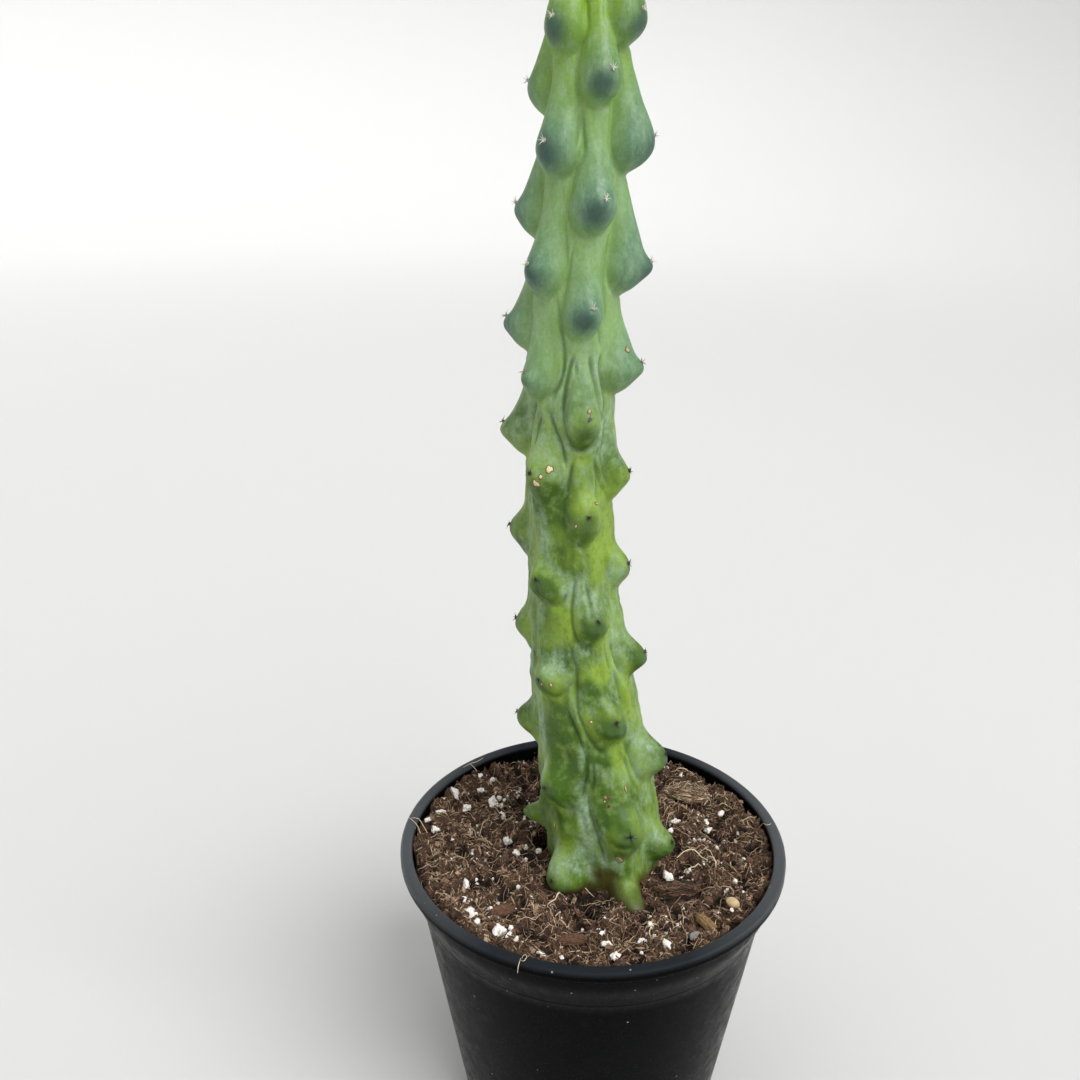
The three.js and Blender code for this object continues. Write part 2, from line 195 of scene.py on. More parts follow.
def inside_radius(height):
    """The pot's inner radius: the wall's less its thickness, and a straight flare inside the collar."""
    flare = (MOUTH_RADIUS - STEP_RADIUS + WALL) / (MOUTH_FLOOR - STEP_HEIGHT)
    return np.where(height < STEP_HEIGHT, wall_radius(height) - WALL,
                    STEP_RADIUS - WALL + flare * (height - STEP_HEIGHT))


foot_radius = wall_radius(0)
floor_height = BASE_HEIGHT + WALL
outer_rows = np.linspace(FOOT_ROUND, STEP_HEIGHT - BEAD_ROUND, 30)
inner_rows = np.linspace(STEP_HEIGHT, floor_height + FLOOR_ROUND, 24)
shelf_rows = np.linspace(MOUTH_FLOOR, STEP_HEIGHT + 1, 6)
pot_outline = np.concatenate([
    [[ring, BASE_HEIGHT] for ring in (0, *BASE_RINGS, FOOT_INNER - 0.5)],
    arc(FOOT_INNER + FOOT_ROUND, FOOT_ROUND, FOOT_ROUND, 180, 270),
    arc(foot_radius - FOOT_ROUND, FOOT_ROUND, FOOT_ROUND, -90, -10),
    np.stack([wall_radius(outer_rows), outer_rows], axis=1),
    [[STEP_RADIUS + STEP_BEAD, STEP_HEIGHT], [STEP_RADIUS + STEP_BEAD, STEP_HEIGHT + BEAD_HEIGHT]],
    curve([(radius, height) for height, radius in COLLAR], 5),
    [[RIM_RADIUS - LIP_EDGE_WIDTH, LIP_UNDERSIDE]],
    arc(RIM_RADIUS - LIP_EDGE_ROUND, LIP_UNDERSIDE + LIP_EDGE_ROUND, LIP_EDGE_ROUND, -90, 0),
    arc(RIM_RADIUS - LIP_OUTER_ROUND, RIM_HEIGHT - LIP_OUTER_ROUND, LIP_OUTER_ROUND, 0, 90, 9),
    arc(MOUTH_RADIUS + LIP_INNER_ROUND, RIM_HEIGHT - LIP_INNER_ROUND, LIP_INNER_ROUND, 90, 180),
    np.stack([inside_radius(shelf_rows), shelf_rows], axis=1),
    np.stack([inside_radius(inner_rows), inner_rows], axis=1),
    arc(inside_radius(floor_height) - FLOOR_CORNER, floor_height + FLOOR_ROUND, FLOOR_ROUND, -20, -90, 4),
    [[ring, floor_height] for ring in (*BASE_RINGS[::-1], 0)],
])

# Black moulded polypropylene gives a near-black body with a broad soft gloss, duller where soil and hands
# have scuffed it, with faint draw lines down the wall and a few specks of pale dust. The lip's worn top is
# painted lighter towards the sides than at the front, a painted reflection, and it is glossier there.
black_plastic, shader, place = start_material("moulded_black_polypropylene")
cloudy = put(black_plastic, "TexNoise", {"Vector": place, "Scale": every(14), "Detail": 3.0})
height = put(black_plastic, "SeparateXYZ", {"Vector": place}).outputs["Z"]
lip_share = put(black_plastic, "MapRange", {"Value": height, "From Min": 0.1379, "From Max": 0.1397})
body_colour = put(black_plastic, "MixRGB", {"Fac": cloudy, "Color1": "#020303", "Color2": "#060707"})
sideways = put(black_plastic, "SeparateXYZ", {"Vector": place}).outputs["X"]
aside = put(black_plastic, "Math", {0: sideways}, operation="ABSOLUTE")
# Painted reflection: the lip's top is painted lighter the further it lies to the side of the front.
lip_side_reflection = put(black_plastic, "MapRange", {"Value": aside, "From Min": 0.035, "From Max": 0.078})
worn_lip_and_side_reflection = put(black_plastic, "MixRGB", {"Fac": lip_side_reflection, "Color1": "#22262a", "Color2": "#414548"})
lip_colour = put(black_plastic, "MixRGB", {"Fac": lip_share, "Color1": body_colour, "Color2": worn_lip_and_side_reflection})
dust_cell = put(black_plastic, "TexVoronoi", {"Vector": place, "Scale": every(9)})
dust_share = put(black_plastic, "MapRange", {"Value": dust_cell, "From Min": 0.05, "From Max": 0.025,
                                             "To Max": 0.8})
smear = put(black_plastic, "TexNoise", {"Vector": place, "Scale": every(5), "Detail": 5.0})
smear_share = put(black_plastic, "MapRange", {"Value": smear, "From Min": 0.6, "From Max": 0.8,
                                              "To Max": 0.03})
dusty = put(black_plastic, "MixRGB", {"Fac": smear_share, "Color1": lip_colour, "Color2": "#6f6a62"})
speckled = put(black_plastic, "MixRGB", {"Fac": dust_share, "Color1": dusty, "Color2": "#a9a8a2"})
scuff = put(black_plastic, "MapRange", {"Value": smear, "From Min": 0.3, "From Max": 0.75, "To Min": 0.2,
                                        "To Max": 0.42})
satin = put(black_plastic, "MapRange", {"Value": lip_share, "To Max": 0.12})
rough = put(black_plastic, "Math", {0: scuff, 1: satin}, operation="ADD")
lip_side_gloss = put(black_plastic, "Math", {0: lip_share, 1: lip_side_reflection}, operation="MULTIPLY")
sheen = put(black_plastic, "MapRange", {"Value": lip_side_gloss, "To Min": 0.03, "To Max": 0.45})
drawn = put(black_plastic, "Mapping", {"Vector": place, "Scale": (1, 1, 0.03)})
streaks = put(black_plastic, "TexNoise", {"Vector": drawn, "Scale": every(1.2), "Detail": 2.0})
relief = put(black_plastic, "Bump", {"Height": streaks, "Strength": 0.06, "Distance": 0.3 * MM})
plug(shader, {"Base Color": speckled, "Roughness": rough, "Normal": relief, "Specular IOR Level": sheen})

pot = make_piece("pot_moulding", *lathe(pot_outline, POT_SIDES), black_plastic, "black_plastic")
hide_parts("nursery_pot")
punch_outline = [[0, PUNCH_BOTTOM], [DRAIN_RADIUS, PUNCH_BOTTOM], [DRAIN_RADIUS, PUNCH_TOP], [0, PUNCH_TOP]]
for k in range(DRAIN_COUNT):
    turn = 2 * math.pi * (k + 0.5) / DRAIN_COUNT
    punch_points, punch_faces = lathe(np.array(punch_outline), PUNCH_SIDES)
    punch_points += [DRAIN_CIRCLE * math.cos(turn), DRAIN_CIRCLE * math.sin(turn), 0]
    punch = add_object("punch", make_mesh("punch", punch_points, punch_faces, smooth=False))
    cut = pot.modifiers.new("drain", "BOOLEAN")
    cut.operation = "DIFFERENCE"
    cut.object = punch
    bpy.context.view_layer.update()
    punched = bpy.data.meshes.new_from_object(pot.evaluated_get(bpy.context.evaluated_depsgraph_get()))
    pot.modifiers.clear()
    pot.data = punched
    bpy.data.objects.remove(punch)


# The stem is one grown column of green flesh with six ribs. Each rib is a row of knobs: plump teardrops that
# hang over each other near the top, and low round knobs on drawn-out, folded skin towards the foot.
STEM_TOP = 466.0
STEM_FOOT = 92.0
DOME_HEIGHT = 16.0
DOME_RUN = 20.8
TOE_HEIGHT = 30.0
TOE_RUN = 36.0
FIRST_LEVEL = 80.0
LEVEL_STEP = 40.0
CENTRE_X = [6.5, 6.2, 3.2, -2.4, -7.6, -10.6, -11.0, -9.9, -7.5, -6.6, -6.4]
CENTRE_Y = -4.0
BODY_RADIUS = [16.0, 20.0, 21.5, 20.6, 17.4, 15.2, 14.2, 12.8, 11.4, 9.8, 9.0]
STEM_COLUMNS = 212
STEM_ROWS = 466
TOE_ROWS = 8
TOE_ROWS_RUN = 24
TOE_BLUNTNESS = 0.8
DOME_BLUNTNESS = 0.9
# The columns of points crowd towards the front, which the camera sees.
FRONT_CROWDING = 0.42
BURIED_TO = 112
BURIED_FADE = 18
DOME_LEAN = 0.9
RIB_COUNT = 6
# The flutes between the ribs are shallow on the column and deep on the old base.
FLUTE_SHALLOW = 0.4
FLUTE_DEEP = 2.4
FLUTE_FROM = 190
FLUTE_OVER = 50
FLUTE_TURN = 22
# Each knob has its azimuth in degrees from the front, the height of its tip, how far it stands out, and its
# size against a usual knob.
RIBS = {
    "front_right": [
        (21.5, 131, 11, 0.78), (24, 160, 5.5, 1.5), (27, 208, 5.5, 1.15), (24, 248, 5.5, 1),
        (21, 288, 6, 1), (18, 323, 7, 0.95), (14, 360, 8.5, 0.9), (18, 394, 9.5, 0.98),
        (21, 432, 9.5, 0.86), (8, 459, 5.5, 0.6)],
    "right": [
        (72, 145.5, 6.5, 0.9), (74, 186, 7.5, 1.15), (76, 229.5, 7, 0.9), (78, 265, 5.5, 0.9),
        (80, 300.5, 6.5, 0.95), (78, 340, 10, 1), (78, 374, 11.5, 1), (76, 413, 12, 1),
        (60, 449, 10.5, 0.9), (70, 468, 4.5, 0.6)],
    "back_right": [
        (150, 150, 7, 1.1), (150, 195, 5, 1.05), (150, 243, 5.5, 1), (150, 284, 6, 1), (150, 320, 7, 1),
        (150, 356, 8, 1), (150, 391, 9, 1), (150, 431, 8.5, 0.95), (150, 457, 6.5, 0.8)],
    "back_left": [
        (-160, 137, 9, 1.1), (-160, 176, 6, 1.05), (-160, 222, 6.5, 1), (-160, 262, 7, 1),
        (-160, 302, 8, 1), (-160, 339, 9, 1), (-160, 374, 10, 1), (-160, 412, 10, 1), (-160, 448, 9, 0.9),
        (-160, 468, 4.5, 0.6)],
    "left": [
        (-98, 150.5, 8.5, 0.62), (-98, 196, 7.2, 1), (-98, 238, 5, 0.95), (-98, 277, 6, 1),
        (-98, 316, 8.5, 1), (-98, 354, 9.5, 1), (-98, 392, 9.5, 1), (-98, 430, 8.5, 0.95),
        (-98, 459, 4, 0.7)],
    "front_left": [
        (-37, 138, 9, 1.2), (-44, 177, 5, 1.15), (-36, 224, 5, 1), (-33, 263, 5.5, 1), (-37, 303, 5.5, 1),
        (-44, 338, 7, 0.92), (-45, 374, 8.5, 1.03), (-37, 412, 9, 1.06), (-36, 447, 8, 0.95),
        (-36, 467, 4.5, 0.6)],
}
KNOBS = [knob for rib in RIBS.values() for knob in rib]
# The folds of the old skin on the side that was seen, as points of azimuth in degrees and height.
FOLDS = [
    [(-9, 423), (-7, 417), (-9, 410)],
    [(46, 385), (42, 376), (41, 366), (37, 355), (41, 347)],
    [(-14, 358), (-6, 352)],
    [(5, 347), (-2, 339), (-6, 331), (-5, 324), (1, 318), (8, 314), (19, 313), (34, 314), (41, 319),
     (42, 326), (36, 333), (28, 340), (23, 347)],
    [(46, 347), (40, 342), (47, 335), (54, 327), (48, 320)],
    [(44, 340), (52, 333), (62, 331)],
    [(53, 345), (58, 341)],
    [(7, 344), (8, 339)],
    [(-22, 365), (-16, 358), (-9, 349), (-8, 341), (-13, 336), (-22, 332), (-32, 331)],
    [(-36, 326), (-42, 319), (-45, 312)],
    [(-27, 327), (-17, 320), (-8, 315), (-4, 310), (-3, 306)],
    [(-45, 331), (-56, 318), (-58, 311)],
    [(8, 310), (5, 305), (1, 299), (0, 296)],
    [(34, 310), (43, 304), (52, 298), (58, 295)],
    [(49, 312), (53, 306), (58, 300), (62, 296)],
    [(56, 323), (53, 316), (52, 309)],
    [(10, 280), (15, 277), (25, 277), (31, 280)],
    [(-35, 265), (-33, 260), (-29, 256), (-19, 254), (-9, 257), (-3, 261)],
    [(8, 267), (3, 259), (-1, 252), (0, 245), (4, 240), (10, 237.5), (17, 237.5), (24, 240)],
    [(18, 265), (21, 258), (19, 253)],
    [(-8, 240), (-4, 234), (-1, 226)],
    [(36, 240), (37, 233), (39, 226)],
    [(45, 239), (50, 231), (56, 223)],
    [(-37, 226), (-34, 221), (-29, 218), (-21, 219), (-13, 222), (-5, 226)],
    [(-2, 235), (-2, 227), (-6, 215), (-3, 208), (3, 201), (11, 196), (18, 196), (25, 199), (30, 205)],
    [(-19, 214), (-14, 207), (-8, 200), (-4, 192), (-7, 184), (-14, 176), (-18, 173)],
    [(3, 193), (2, 187), (0, 181), (-7, 176), (-8, 169), (-4, 160), (0, 153), (3, 145)],
    [(36, 193), (40, 187), (43, 181), (47, 176)],
    [(40, 199), (45, 191), (49, 184), (54, 177)],
    [(42, 228), (46, 221), (49, 213), (42, 208)],
    [(11, 231), (14, 229)],
    [(-46, 176), (-40, 173), (-35, 170), (-29, 170)],
    [(9, 159), (14, 157), (20, 157), (27, 156)],
]
# Where the white film lies thick or is rubbed off on that side, and where the skin is deep green or fresh.
# Each patch has its azimuth and height, half its width and half its height, its film and its freshness,
# from -1 to 1.
PATCHES = [
    (-24, 308, 6, 7, 1, 0), (-30, 281, 3.5, 8, 0.8, 0), (2, 313, 4, 4, 0.7, 0), (12, 258, 6.5, 8.5, 1, 0),
    (63, 265, 4, 4, 0.8, 0), (-26, 230, 6, 5, 0.45, -0.3), (48, 234, 7, 6, 0.8, 0),
    (-58, 203, 3, 12, 0.9, 0), (-53, 180, 3, 11, 0.9, 0), (-12, 172, 3, 8, 0.8, 0),
    (-12, 160, 4, 9, 1, 0), (-33, 146, 11, 5, 0.75, -0.3), (2, 158, 2.5, 6, 0.7, 0),
    (62, 187, 4, 13, 0.8, 0), (36, 158, 3, 7, 0.8, 0), (60, 151, 4, 4, 0.7, 0), (8, 147, 7, 3, 0.8, 0),
    (-24, 333, 4, 8, 0.5, 0.2), (30, 340, 6, 8, 0.6, -0.3), (-62, 352, 5, 8, 0.6, -0.4),
    (-30, 298, 5, 6, -1, -0.6), (-12, 286, 5, 9, -1, -1), (18, 284, 5, 6.5, -0.5, -1),
    (17, 248, 4, 5, -0.8, -1), (-28, 262, 4, 6, -0.2, -0.4), (-29, 241, 4, 6, -0.5, 0.3),
    (-31, 206, 7, 13, -1, -1), (-29, 184, 6, 10, -1, -1), (15, 166, 6.5, 8, -1, -1),
    (5, 176, 3.5, 8, -0.8, -0.8), (10, 222, 3.5, 5, -0.9, -1), (22, 207, 5, 5, -0.7, -1),
    (-37, 162, 5, 5, -0.8, -1), (11, 198, 4, 6, -0.8, -0.9), (74, 229, 4, 5, -0.6, -1),
    (73, 186, 4, 5, -0.5, -1), (70, 144, 4, 4, -0.6, -1), (2, 333, 3, 6, -0.5, -0.3),
    (60, 290, 5, 9, -0.9, 1), (52, 277, 6, 6, -1, 1), (38, 268, 5, 9, -0.6, 1), (35, 236, 5, 7, -0.8, 1),
    (24, 227, 5, 4, -0.9, 1), (-8, 246, 4.5, 7, -0.9, 1), (31, 166, 3, 6, -0.6, 1),
    (55, 213, 5, 6, -0.8, 1), (9, 322, 5, 6, -0.4, 0.6), (18, 344, 5, 8, 0.8, 0),
    (-42, 321, 4, 8, 0.6, 0), (-2, 327, 3, 12, 0.8, 0), (42, 320, 4, 14, 0.8, 0),
    (-34, 300, 3, 4, 0.4, 0.3), (70, 318, 6, 10, 0.7, 0), (-75, 320, 7, 12, 0.6, 0),
    (23, 317, 5, 6, -1, -1), (-35, 298, 5, 4, -0.6, -0.8), (-28, 343, 7, 6, -0.3, -0.4),
    (4, 272, 5, 4, -0.9, 1), (21, 137, 3, 6, -0.6, -0.1), (-14, 252, 4, 4, -0.7, 0.8),
    (-22, 193, 2.5, 9, -0.6, 0.7), (30, 196, 4, 8, -0.7, 0.7), (-52, 230, 3, 8, -0.4, 0.8),
]
# A knob is old below one height and young above another. An old one is a round bump on a flat drop.
OLD_BELOW = 235
YOUNG_OVER = 345
# The drop, at the size of a usual knob: half its width and its run below the tip on old skin, its length
# above the tip, how its sides and its crest fall away there, and the trail that it ends in.
DROP_WIDTH = 9.6
DROP_CHIN = 11
NECK_OLD = 29
NECK_PER_STAND = 3.5
NECK_YOUNG_FROM = 330
NECK_YOUNG_OVER = 40
NARROWING = 0.62
PINCH = 0.25
TRAIL_OLD = 1.6
TRAIL_GAIN = 1.4
TRAIL_SHARE = 0.16
SLOPE = 1.9
BLUNT = 0.1
DROP_OLD_SHARE = 0.24
ROUNDNESS_OLD = 0.95
ROUNDNESS_LOSS = 0.3
# The round bump of an old knob, and the nipple on the knobs of middle age.
BUMP_WIDTH = 5.9
BUMP_UP = 7.4
BUMP_DOWN = 5.9
BUMP_SHARE = 0.9
BUMP_STEEPNESS = 1.45
NIPPLE_OUT = 2.0
NIPPLE_FROM = 280
NIPPLE_TO = 415
NIPPLE_OVER = 40
# The dark round a tip, partly the skin's own and partly painted shade: how strong it is at middle age, and
# more on young knobs and on old ones.
TIP_DARK = 0.3
TIP_DARK_YOUNG = 0.7
TIP_DARK_OLD = 0.6
# The flesh that fills the valleys between knobs, and how sharply knobs meet it and each other.
WEB_OLD = 0.3
WEB_GAIN = 1.9
WEB_FROM = 290
WEB_OVER = 70
WEB_POWER = 3.5
KNOB_POWER = 6
# The skin's depth over the body where widths are measured round the stem: at a tip, a fold and a patch.
TIP_RADIUS = 3
FOLD_RADIUS = 2.5
PATCH_RADIUS = 4
FOLD_WIDTH = 0.68
SEAM_WIDTH = 0.5
CREASE_DEPTH = 0.34
# Where the brown of the old foot ends: on the tongue at the front, and all round.
TONGUE_TOP = 146.5
BROWN_TOP = 139.5


def ease(x):
    """Zero below 0 and one above 1, with a smooth cubic rise between them."""
    x = np.clip(x, 0, 1)
    return x * x * (3 - 2 * x)


def waves(points, length, seed, count=20):
    """An uneven field of about unit size: sine waves of roughly one length in many directions, added up."""
    random = np.random.default_rng(seed)
    ways = random.normal(size=(count, points.shape[-1]))
    turns = 2 * np.pi / length * random.uniform(0.6, 1.5, (count, 1))
    ways *= turns / np.linalg.norm(ways, axis=1, keepdims=True)
    starts = random.uniform(0, 2 * np.pi, count)
    return sum(np.sin(points @ way + start) for way, start in zip(ways, starts)) * math.sqrt(2 / count)


def along(levels, height):
    """A value at a height, on a smooth Catmull-Rom curve through values given at even levels."""
    levels = np.array(levels, float)
    t = np.clip((height - FIRST_LEVEL) / LEVEL_STEP, 0, len(levels) - 1.001)
    i = t.astype(int)
    t = t - i
    a, b = levels[np.maximum(i - 1, 0)], levels[i]
    c, d = levels[i + 1], levels[np.minimum(i + 2, len(levels) - 1)]
    return b + 0.5 * t * (c - a + t * (2 * a - 5 * b + 4 * c - d + t * (3 * (b - c) + d - a)))


def meridian(rows):
    """Height, share of the radius, and tilt of the skin up the stem: a straight run with a dome at each end.
    A few wide rows cover the buried toe, and the rest are evenly spaced along the skin."""
    run = STEM_TOP - DOME_HEIGHT - STEM_FOOT - TOE_HEIGHT
    whole = TOE_RUN + run + DOME_RUN
    wide_rows = np.linspace(0.6, TOE_ROWS_RUN, TOE_ROWS, endpoint=False)
    way = np.concatenate([wide_rows, np.linspace(TOE_ROWS_RUN, whole - 0.4, rows - TOE_ROWS)])
    toe = np.clip(way / TOE_RUN, 0, 1) * np.pi / 2
    dome = np.clip((way - TOE_RUN - run) / DOME_RUN, 0, 1) * np.pi / 2
    height = STEM_FOOT + TOE_HEIGHT * (1 - np.cos(toe)) + np.clip(way - TOE_RUN, 0, run)
    height = height + DOME_HEIGHT * np.sin(dome)
    share = np.sin(toe) ** TOE_BLUNTNESS * np.cos(dome) ** DOME_BLUNTNESS
    return height, share, dome + toe - np.pi / 2


def soften(field):
    """Draws each value halfway to its neighbours, round the stem and then along it."""
    field = 0.5 * field + 0.25 * (np.roll(field, 1, axis=1) + np.roll(field, -1, axis=1))
    padded = np.pad(field, ((1, 1), (0, 0)), mode="edge")
    return 0.5 * field + 0.25 * (padded[:-2] + padded[2:])


def groove(distance, width):
    """The skin's fall across a fold: a narrow dip of unit depth in a shallow trough, between two
    shoulders."""
    return (0.75 * np.exp(-(distance / width) ** 2) + 0.3 * np.exp(-(distance / (2.8 * width)) ** 2)
            - 0.42 * np.exp(-((distance - 4 * width) / (2 * width)) ** 2))


def stronger(a, b):
    """Of two fields, at each point the one that is further from zero."""
    return np.where(np.abs(b) > np.abs(a), b, a)


def knob_fields(azimuth, height):
    """How far the knobs stand out of the body, how near each point is to a tip, and the seams round the
    knobs. A young knob is a teardrop: a half ellipse below its tip and a narrowing neck above it, with a
    domed section. An old one is a round bump on a flat drop, and between them a nipple grows on the drop's
    tip. Neighbours join as the sixth root of the sum of sixth powers, over a web of flesh that fills the
    valleys. Seams show on the side away from the camera and round young knobs, and the folds are drawn
    elsewhere."""
    stand, tip, seam = (np.zeros(azimuth.shape) for _ in range(3))
    seen = ease((np.radians(95) - np.abs(azimuth)) / np.radians(20))
    for turn, top, out, size in KNOBS:
        young = float(ease((top - OLD_BELOW) / (YOUNG_OVER - OLD_BELOW)))
        aside = (azimuth - math.radians(turn) + np.pi) % (2 * np.pi) - np.pi
        across = aside * (along(BODY_RADIUS, np.array(float(top))) + TIP_RADIUS)
        up = height - top
        lengthened = float(ease((top - NECK_YOUNG_FROM) / NECK_YOUNG_OVER))
        neck = NECK_OLD + (NECK_PER_STAND * out - NECK_OLD) * lengthened
        width, chin = (DROP_WIDTH - young) * size, (DROP_CHIN - young) * size
        t = np.clip(up / neck, 0, 1)
        half = width * (1 - t) ** NARROWING * (1 - PINCH * t) + (TRAIL_OLD + TRAIL_GAIN * young) * t
        ring = np.hypot(across / width, np.minimum(up, 0) / chin)
        share = np.where(up > 0, np.abs(across) / np.maximum(half, 0.3), ring)
        edge = np.where(up > 0, np.abs(across) - half, (ring - 1) * min(width, chin))
        blunt = (np.sqrt(t * t + BLUNT ** 2) - BLUNT) / (math.sqrt(1 + BLUNT ** 2) - BLUNT)
        fall = np.where(up > 0, (1 - TRAIL_SHARE) * (1 - blunt) ** SLOPE + TRAIL_SHARE * (t < 1), 1.0)
        domed = np.clip(1 - share ** 2, 0, 1) ** (ROUNDNESS_OLD - ROUNDNESS_LOSS * young)
        drop = out * (DROP_OLD_SHARE + (1 - DROP_OLD_SHARE) * young) * fall * domed
        bump_up = np.where(up > 0, up / BUMP_UP, up / BUMP_DOWN) / size
        swell = (across / (BUMP_WIDTH * size)) ** 2 + bump_up ** 2
        bump = out * (1 - young) * BUMP_SHARE * np.exp(-swell ** BUMP_STEEPNESS)
        middle_aged = float(ease((top - NIPPLE_FROM) / NIPPLE_OVER) * ease((NIPPLE_TO - top) / NIPPLE_OVER))
        from_nipple = ((across - 0.6) / 2.3) ** 2 + ((up + 0.2) / 3.5) ** 2
        nipple = NIPPLE_OUT * middle_aged * np.exp(-from_nipple ** 1.3)
        stand += np.maximum(drop + bump + nipple * (share < 1), 0) ** KNOB_POWER
        # Dark round each tip: partly the skin's own, partly painted shade, moved left on young front knobs.
        dark = (TIP_DARK + TIP_DARK_YOUNG * float(ease((top - 343) / 12))
                + TIP_DARK_OLD * float(ease((300 - top) / 20)))
        wide, tall, drop_by = 4.6 - 1.0 * young, 5.2 + 0.4 * young, 1.0 + 0.6 * young
        moved = 0.9 * young if abs(turn) < 30 else 0
        from_tip = ((across + moved) / (wide * size)) ** 2 + ((up + drop_by) / (tall * size)) ** 2
        tip = np.maximum(tip, dark * np.exp(-from_tip))
        clear = 1 - seen * (1 - float(ease((top - 335) / 15)))
        near = np.clip((neck - up) / 14, 0, 1) * np.clip((up + chin + 3) / 4, 0, 1) * clear
        seam = stronger(seam, (1 - 0.4 * young) * groove(np.abs(edge - 0.3), SEAM_WIDTH) * near)
    stand = stand ** (1 / KNOB_POWER)
    seam = seam * ease((5.5 - stand) / 3)
    web = WEB_GAIN * ease((height - WEB_FROM) / WEB_OVER) + WEB_OLD
    return (stand ** WEB_POWER + web ** WEB_POWER) ** (1 / WEB_POWER), np.clip(tip, 0, 1), seam


def fold_field(azimuth, height):
    """The folds of the skin: a groove by the distance to each smooth line, fading at the line's ends."""
    field = np.zeros(azimuth.shape)
    for fold in FOLDS:
        line = curve(fold, 6)
        round_the_stem = np.radians(line[:, 0]) * (along(BODY_RADIUS, line[:, 1]) + FOLD_RADIUS)
        line = np.stack([round_the_stem, line[:, 1]], axis=1)
        rows = np.abs(height[:, 0] - line[:, 1].mean()) < np.ptp(line[:, 1]) / 2 + 5
        spot_across = azimuth[rows] * (along(BODY_RADIUS, height[rows]) + FOLD_RADIUS)
        spot = np.stack([spot_across, height[rows]], axis=-1)
        steps = np.diff(line, axis=0)
        lengths = np.hypot(*steps.T)
        travelled = np.concatenate([[0], np.cumsum(lengths)])
        nearest = np.full(spot.shape[:2], 99.0)
        reached = np.zeros(spot.shape[:2])
        for start, step, length, before in zip(line, steps, lengths, travelled):
            t = np.clip((spot - start) @ step / max(length ** 2, 1e-9), 0, 1)
            away = np.linalg.norm(spot - start - t[..., None] * step, axis=-1)
            reached = np.where(away < nearest, before + t * length, reached)
            nearest = np.minimum(away, nearest)
        ends = ease((reached + 1) / 5) * ease((travelled[-1] - reached + 1) / 5)
        field[rows] = stronger(field[rows], groove(nearest, FOLD_WIDTH) * ends)
    return field


def patch_fields(azimuth, height):
    """The film and the freshness by the patches: each fades out over its own edge, and overlaps add up."""
    film, fresh = np.zeros(azimuth.shape), np.zeros(azimuth.shape)
    for turn, level, half_width, half_height, film_there, fresh_there in PATCHES:
        aside = np.radians((np.degrees(azimuth) - turn + 180) % 360 - 180)
        across = aside * (along(BODY_RADIUS, height) + PATCH_RADIUS)
        spread = ((across / half_width) ** 2 + ((height - level) / half_height) ** 2) ** 1.3
        film += film_there * np.exp(-0.7 * spread)
        fresh += fresh_there * np.exp(-0.7 * spread)
    return np.clip(film, -1, 1), np.clip(fresh, -1, 1)


meridian_height, meridian_share, meridian_tilt = meridian(STEM_ROWS)
even = np.linspace(-np.pi, np.pi, STEM_COLUMNS, endpoint=False)
stem_azimuth, stem_level = np.meshgrid(even - FRONT_CROWDING * np.sin(even), meridian_height)
share, tilt = meridian_share[:, None], meridian_tilt[:, None]
knobs, tips, seams = knob_fields(stem_azimuth, stem_level)
lines = soften(stronger(0.9 * seams, fold_field(stem_azimuth, stem_level)))
flute_depth = FLUTE_SHALLOW + FLUTE_DEEP * np.clip((FLUTE_FROM - stem_level) / FLUTE_OVER, 0, 1)
flutes = flute_depth * (0.5 + 0.5 * np.cos(RIB_COUNT * (stem_azimuth - math.radians(FLUTE_TURN))))
# The skin between the folds is uneven: swells, a fine ripple, and creases that hang down in the valleys.
body_place = np.stack([16 * np.sin(stem_azimuth), 16 * np.cos(stem_azimuth), 0.55 * stem_level], axis=-1)
old_skin = ease((YOUNG_OVER - stem_level) / 90)
drape_place = body_place * [1, 1, 0.4]
uneven = (0.1 + 0.2 * old_skin) * waves(body_place, 9, seed=5)
uneven = uneven + 0.07 * old_skin * waves(body_place, 3.5, seed=6)
uneven += (0.04 + 0.17 * old_skin) * waves(drape_place, 3.4, seed=7)
above_ground = np.clip((stem_level - BURIED_TO) / BURIED_FADE, 0, 1)
above_ground = above_ground * np.clip((STEM_TOP + 6 - stem_level) / 14, 0.55, 1)
valley = old_skin * ease((5 - knobs) / 3)
creases = valley * np.clip(1 - np.abs(waves(drape_place, 4.2, seed=8)) / 0.2, 0, 1)
creases = soften(creases * ease(0.5 + waves(body_place, 14, seed=9)))
fold_depth = 1.0 + 0.15 * ease((stem_level - 280) / 20) * ease((355 - stem_level) / 15)
grooves = fold_depth * lines + CREASE_DEPTH * creases
rise = (soften(knobs) + share * (flutes - grooves + uneven)) * above_ground
# At the mix the skin is brown all round, less at the front right, and a brown tongue climbs the front.
front = np.degrees(stem_azimuth)
tongue = ease((TONGUE_TOP - stem_level) / 6) * np.exp(-((front - 1) / 14.5) ** 4)
green_toe = np.exp(-((front - 21) / 9) ** 4)
brown_toe = np.maximum(tongue, (0.8 - 0.55 * green_toe) * ease((BROWN_TOP - stem_level) / 5))
film_place, fresh_place = patch_fields(stem_azimuth, stem_level)
film_place = np.clip(0.5 + 0.5 * film_place + 0.16 * ease((4 - rise) / 4) - 0.08, 0, 1)
fresh_place = 0.5 + 0.5 * fresh_place
radius = along(BODY_RADIUS, stem_level) * share + rise * np.cos(tilt)
stem_grid = np.stack([
    along(CENTRE_X, stem_level) + radius * np.sin(stem_azimuth),
    CENTRE_Y - radius * np.cos(stem_azimuth),
    stem_level + DOME_LEAN * rise * np.sin(tilt)], axis=-1)
# The columns run from the back by the left, the front and the right, which is anticlockwise from above.
stem_ends = np.stack([stem_grid[0].mean(axis=0), stem_grid[-1].mean(axis=0)])
stem_points = np.concatenate([stem_grid.reshape(-1, 3), stem_ends])
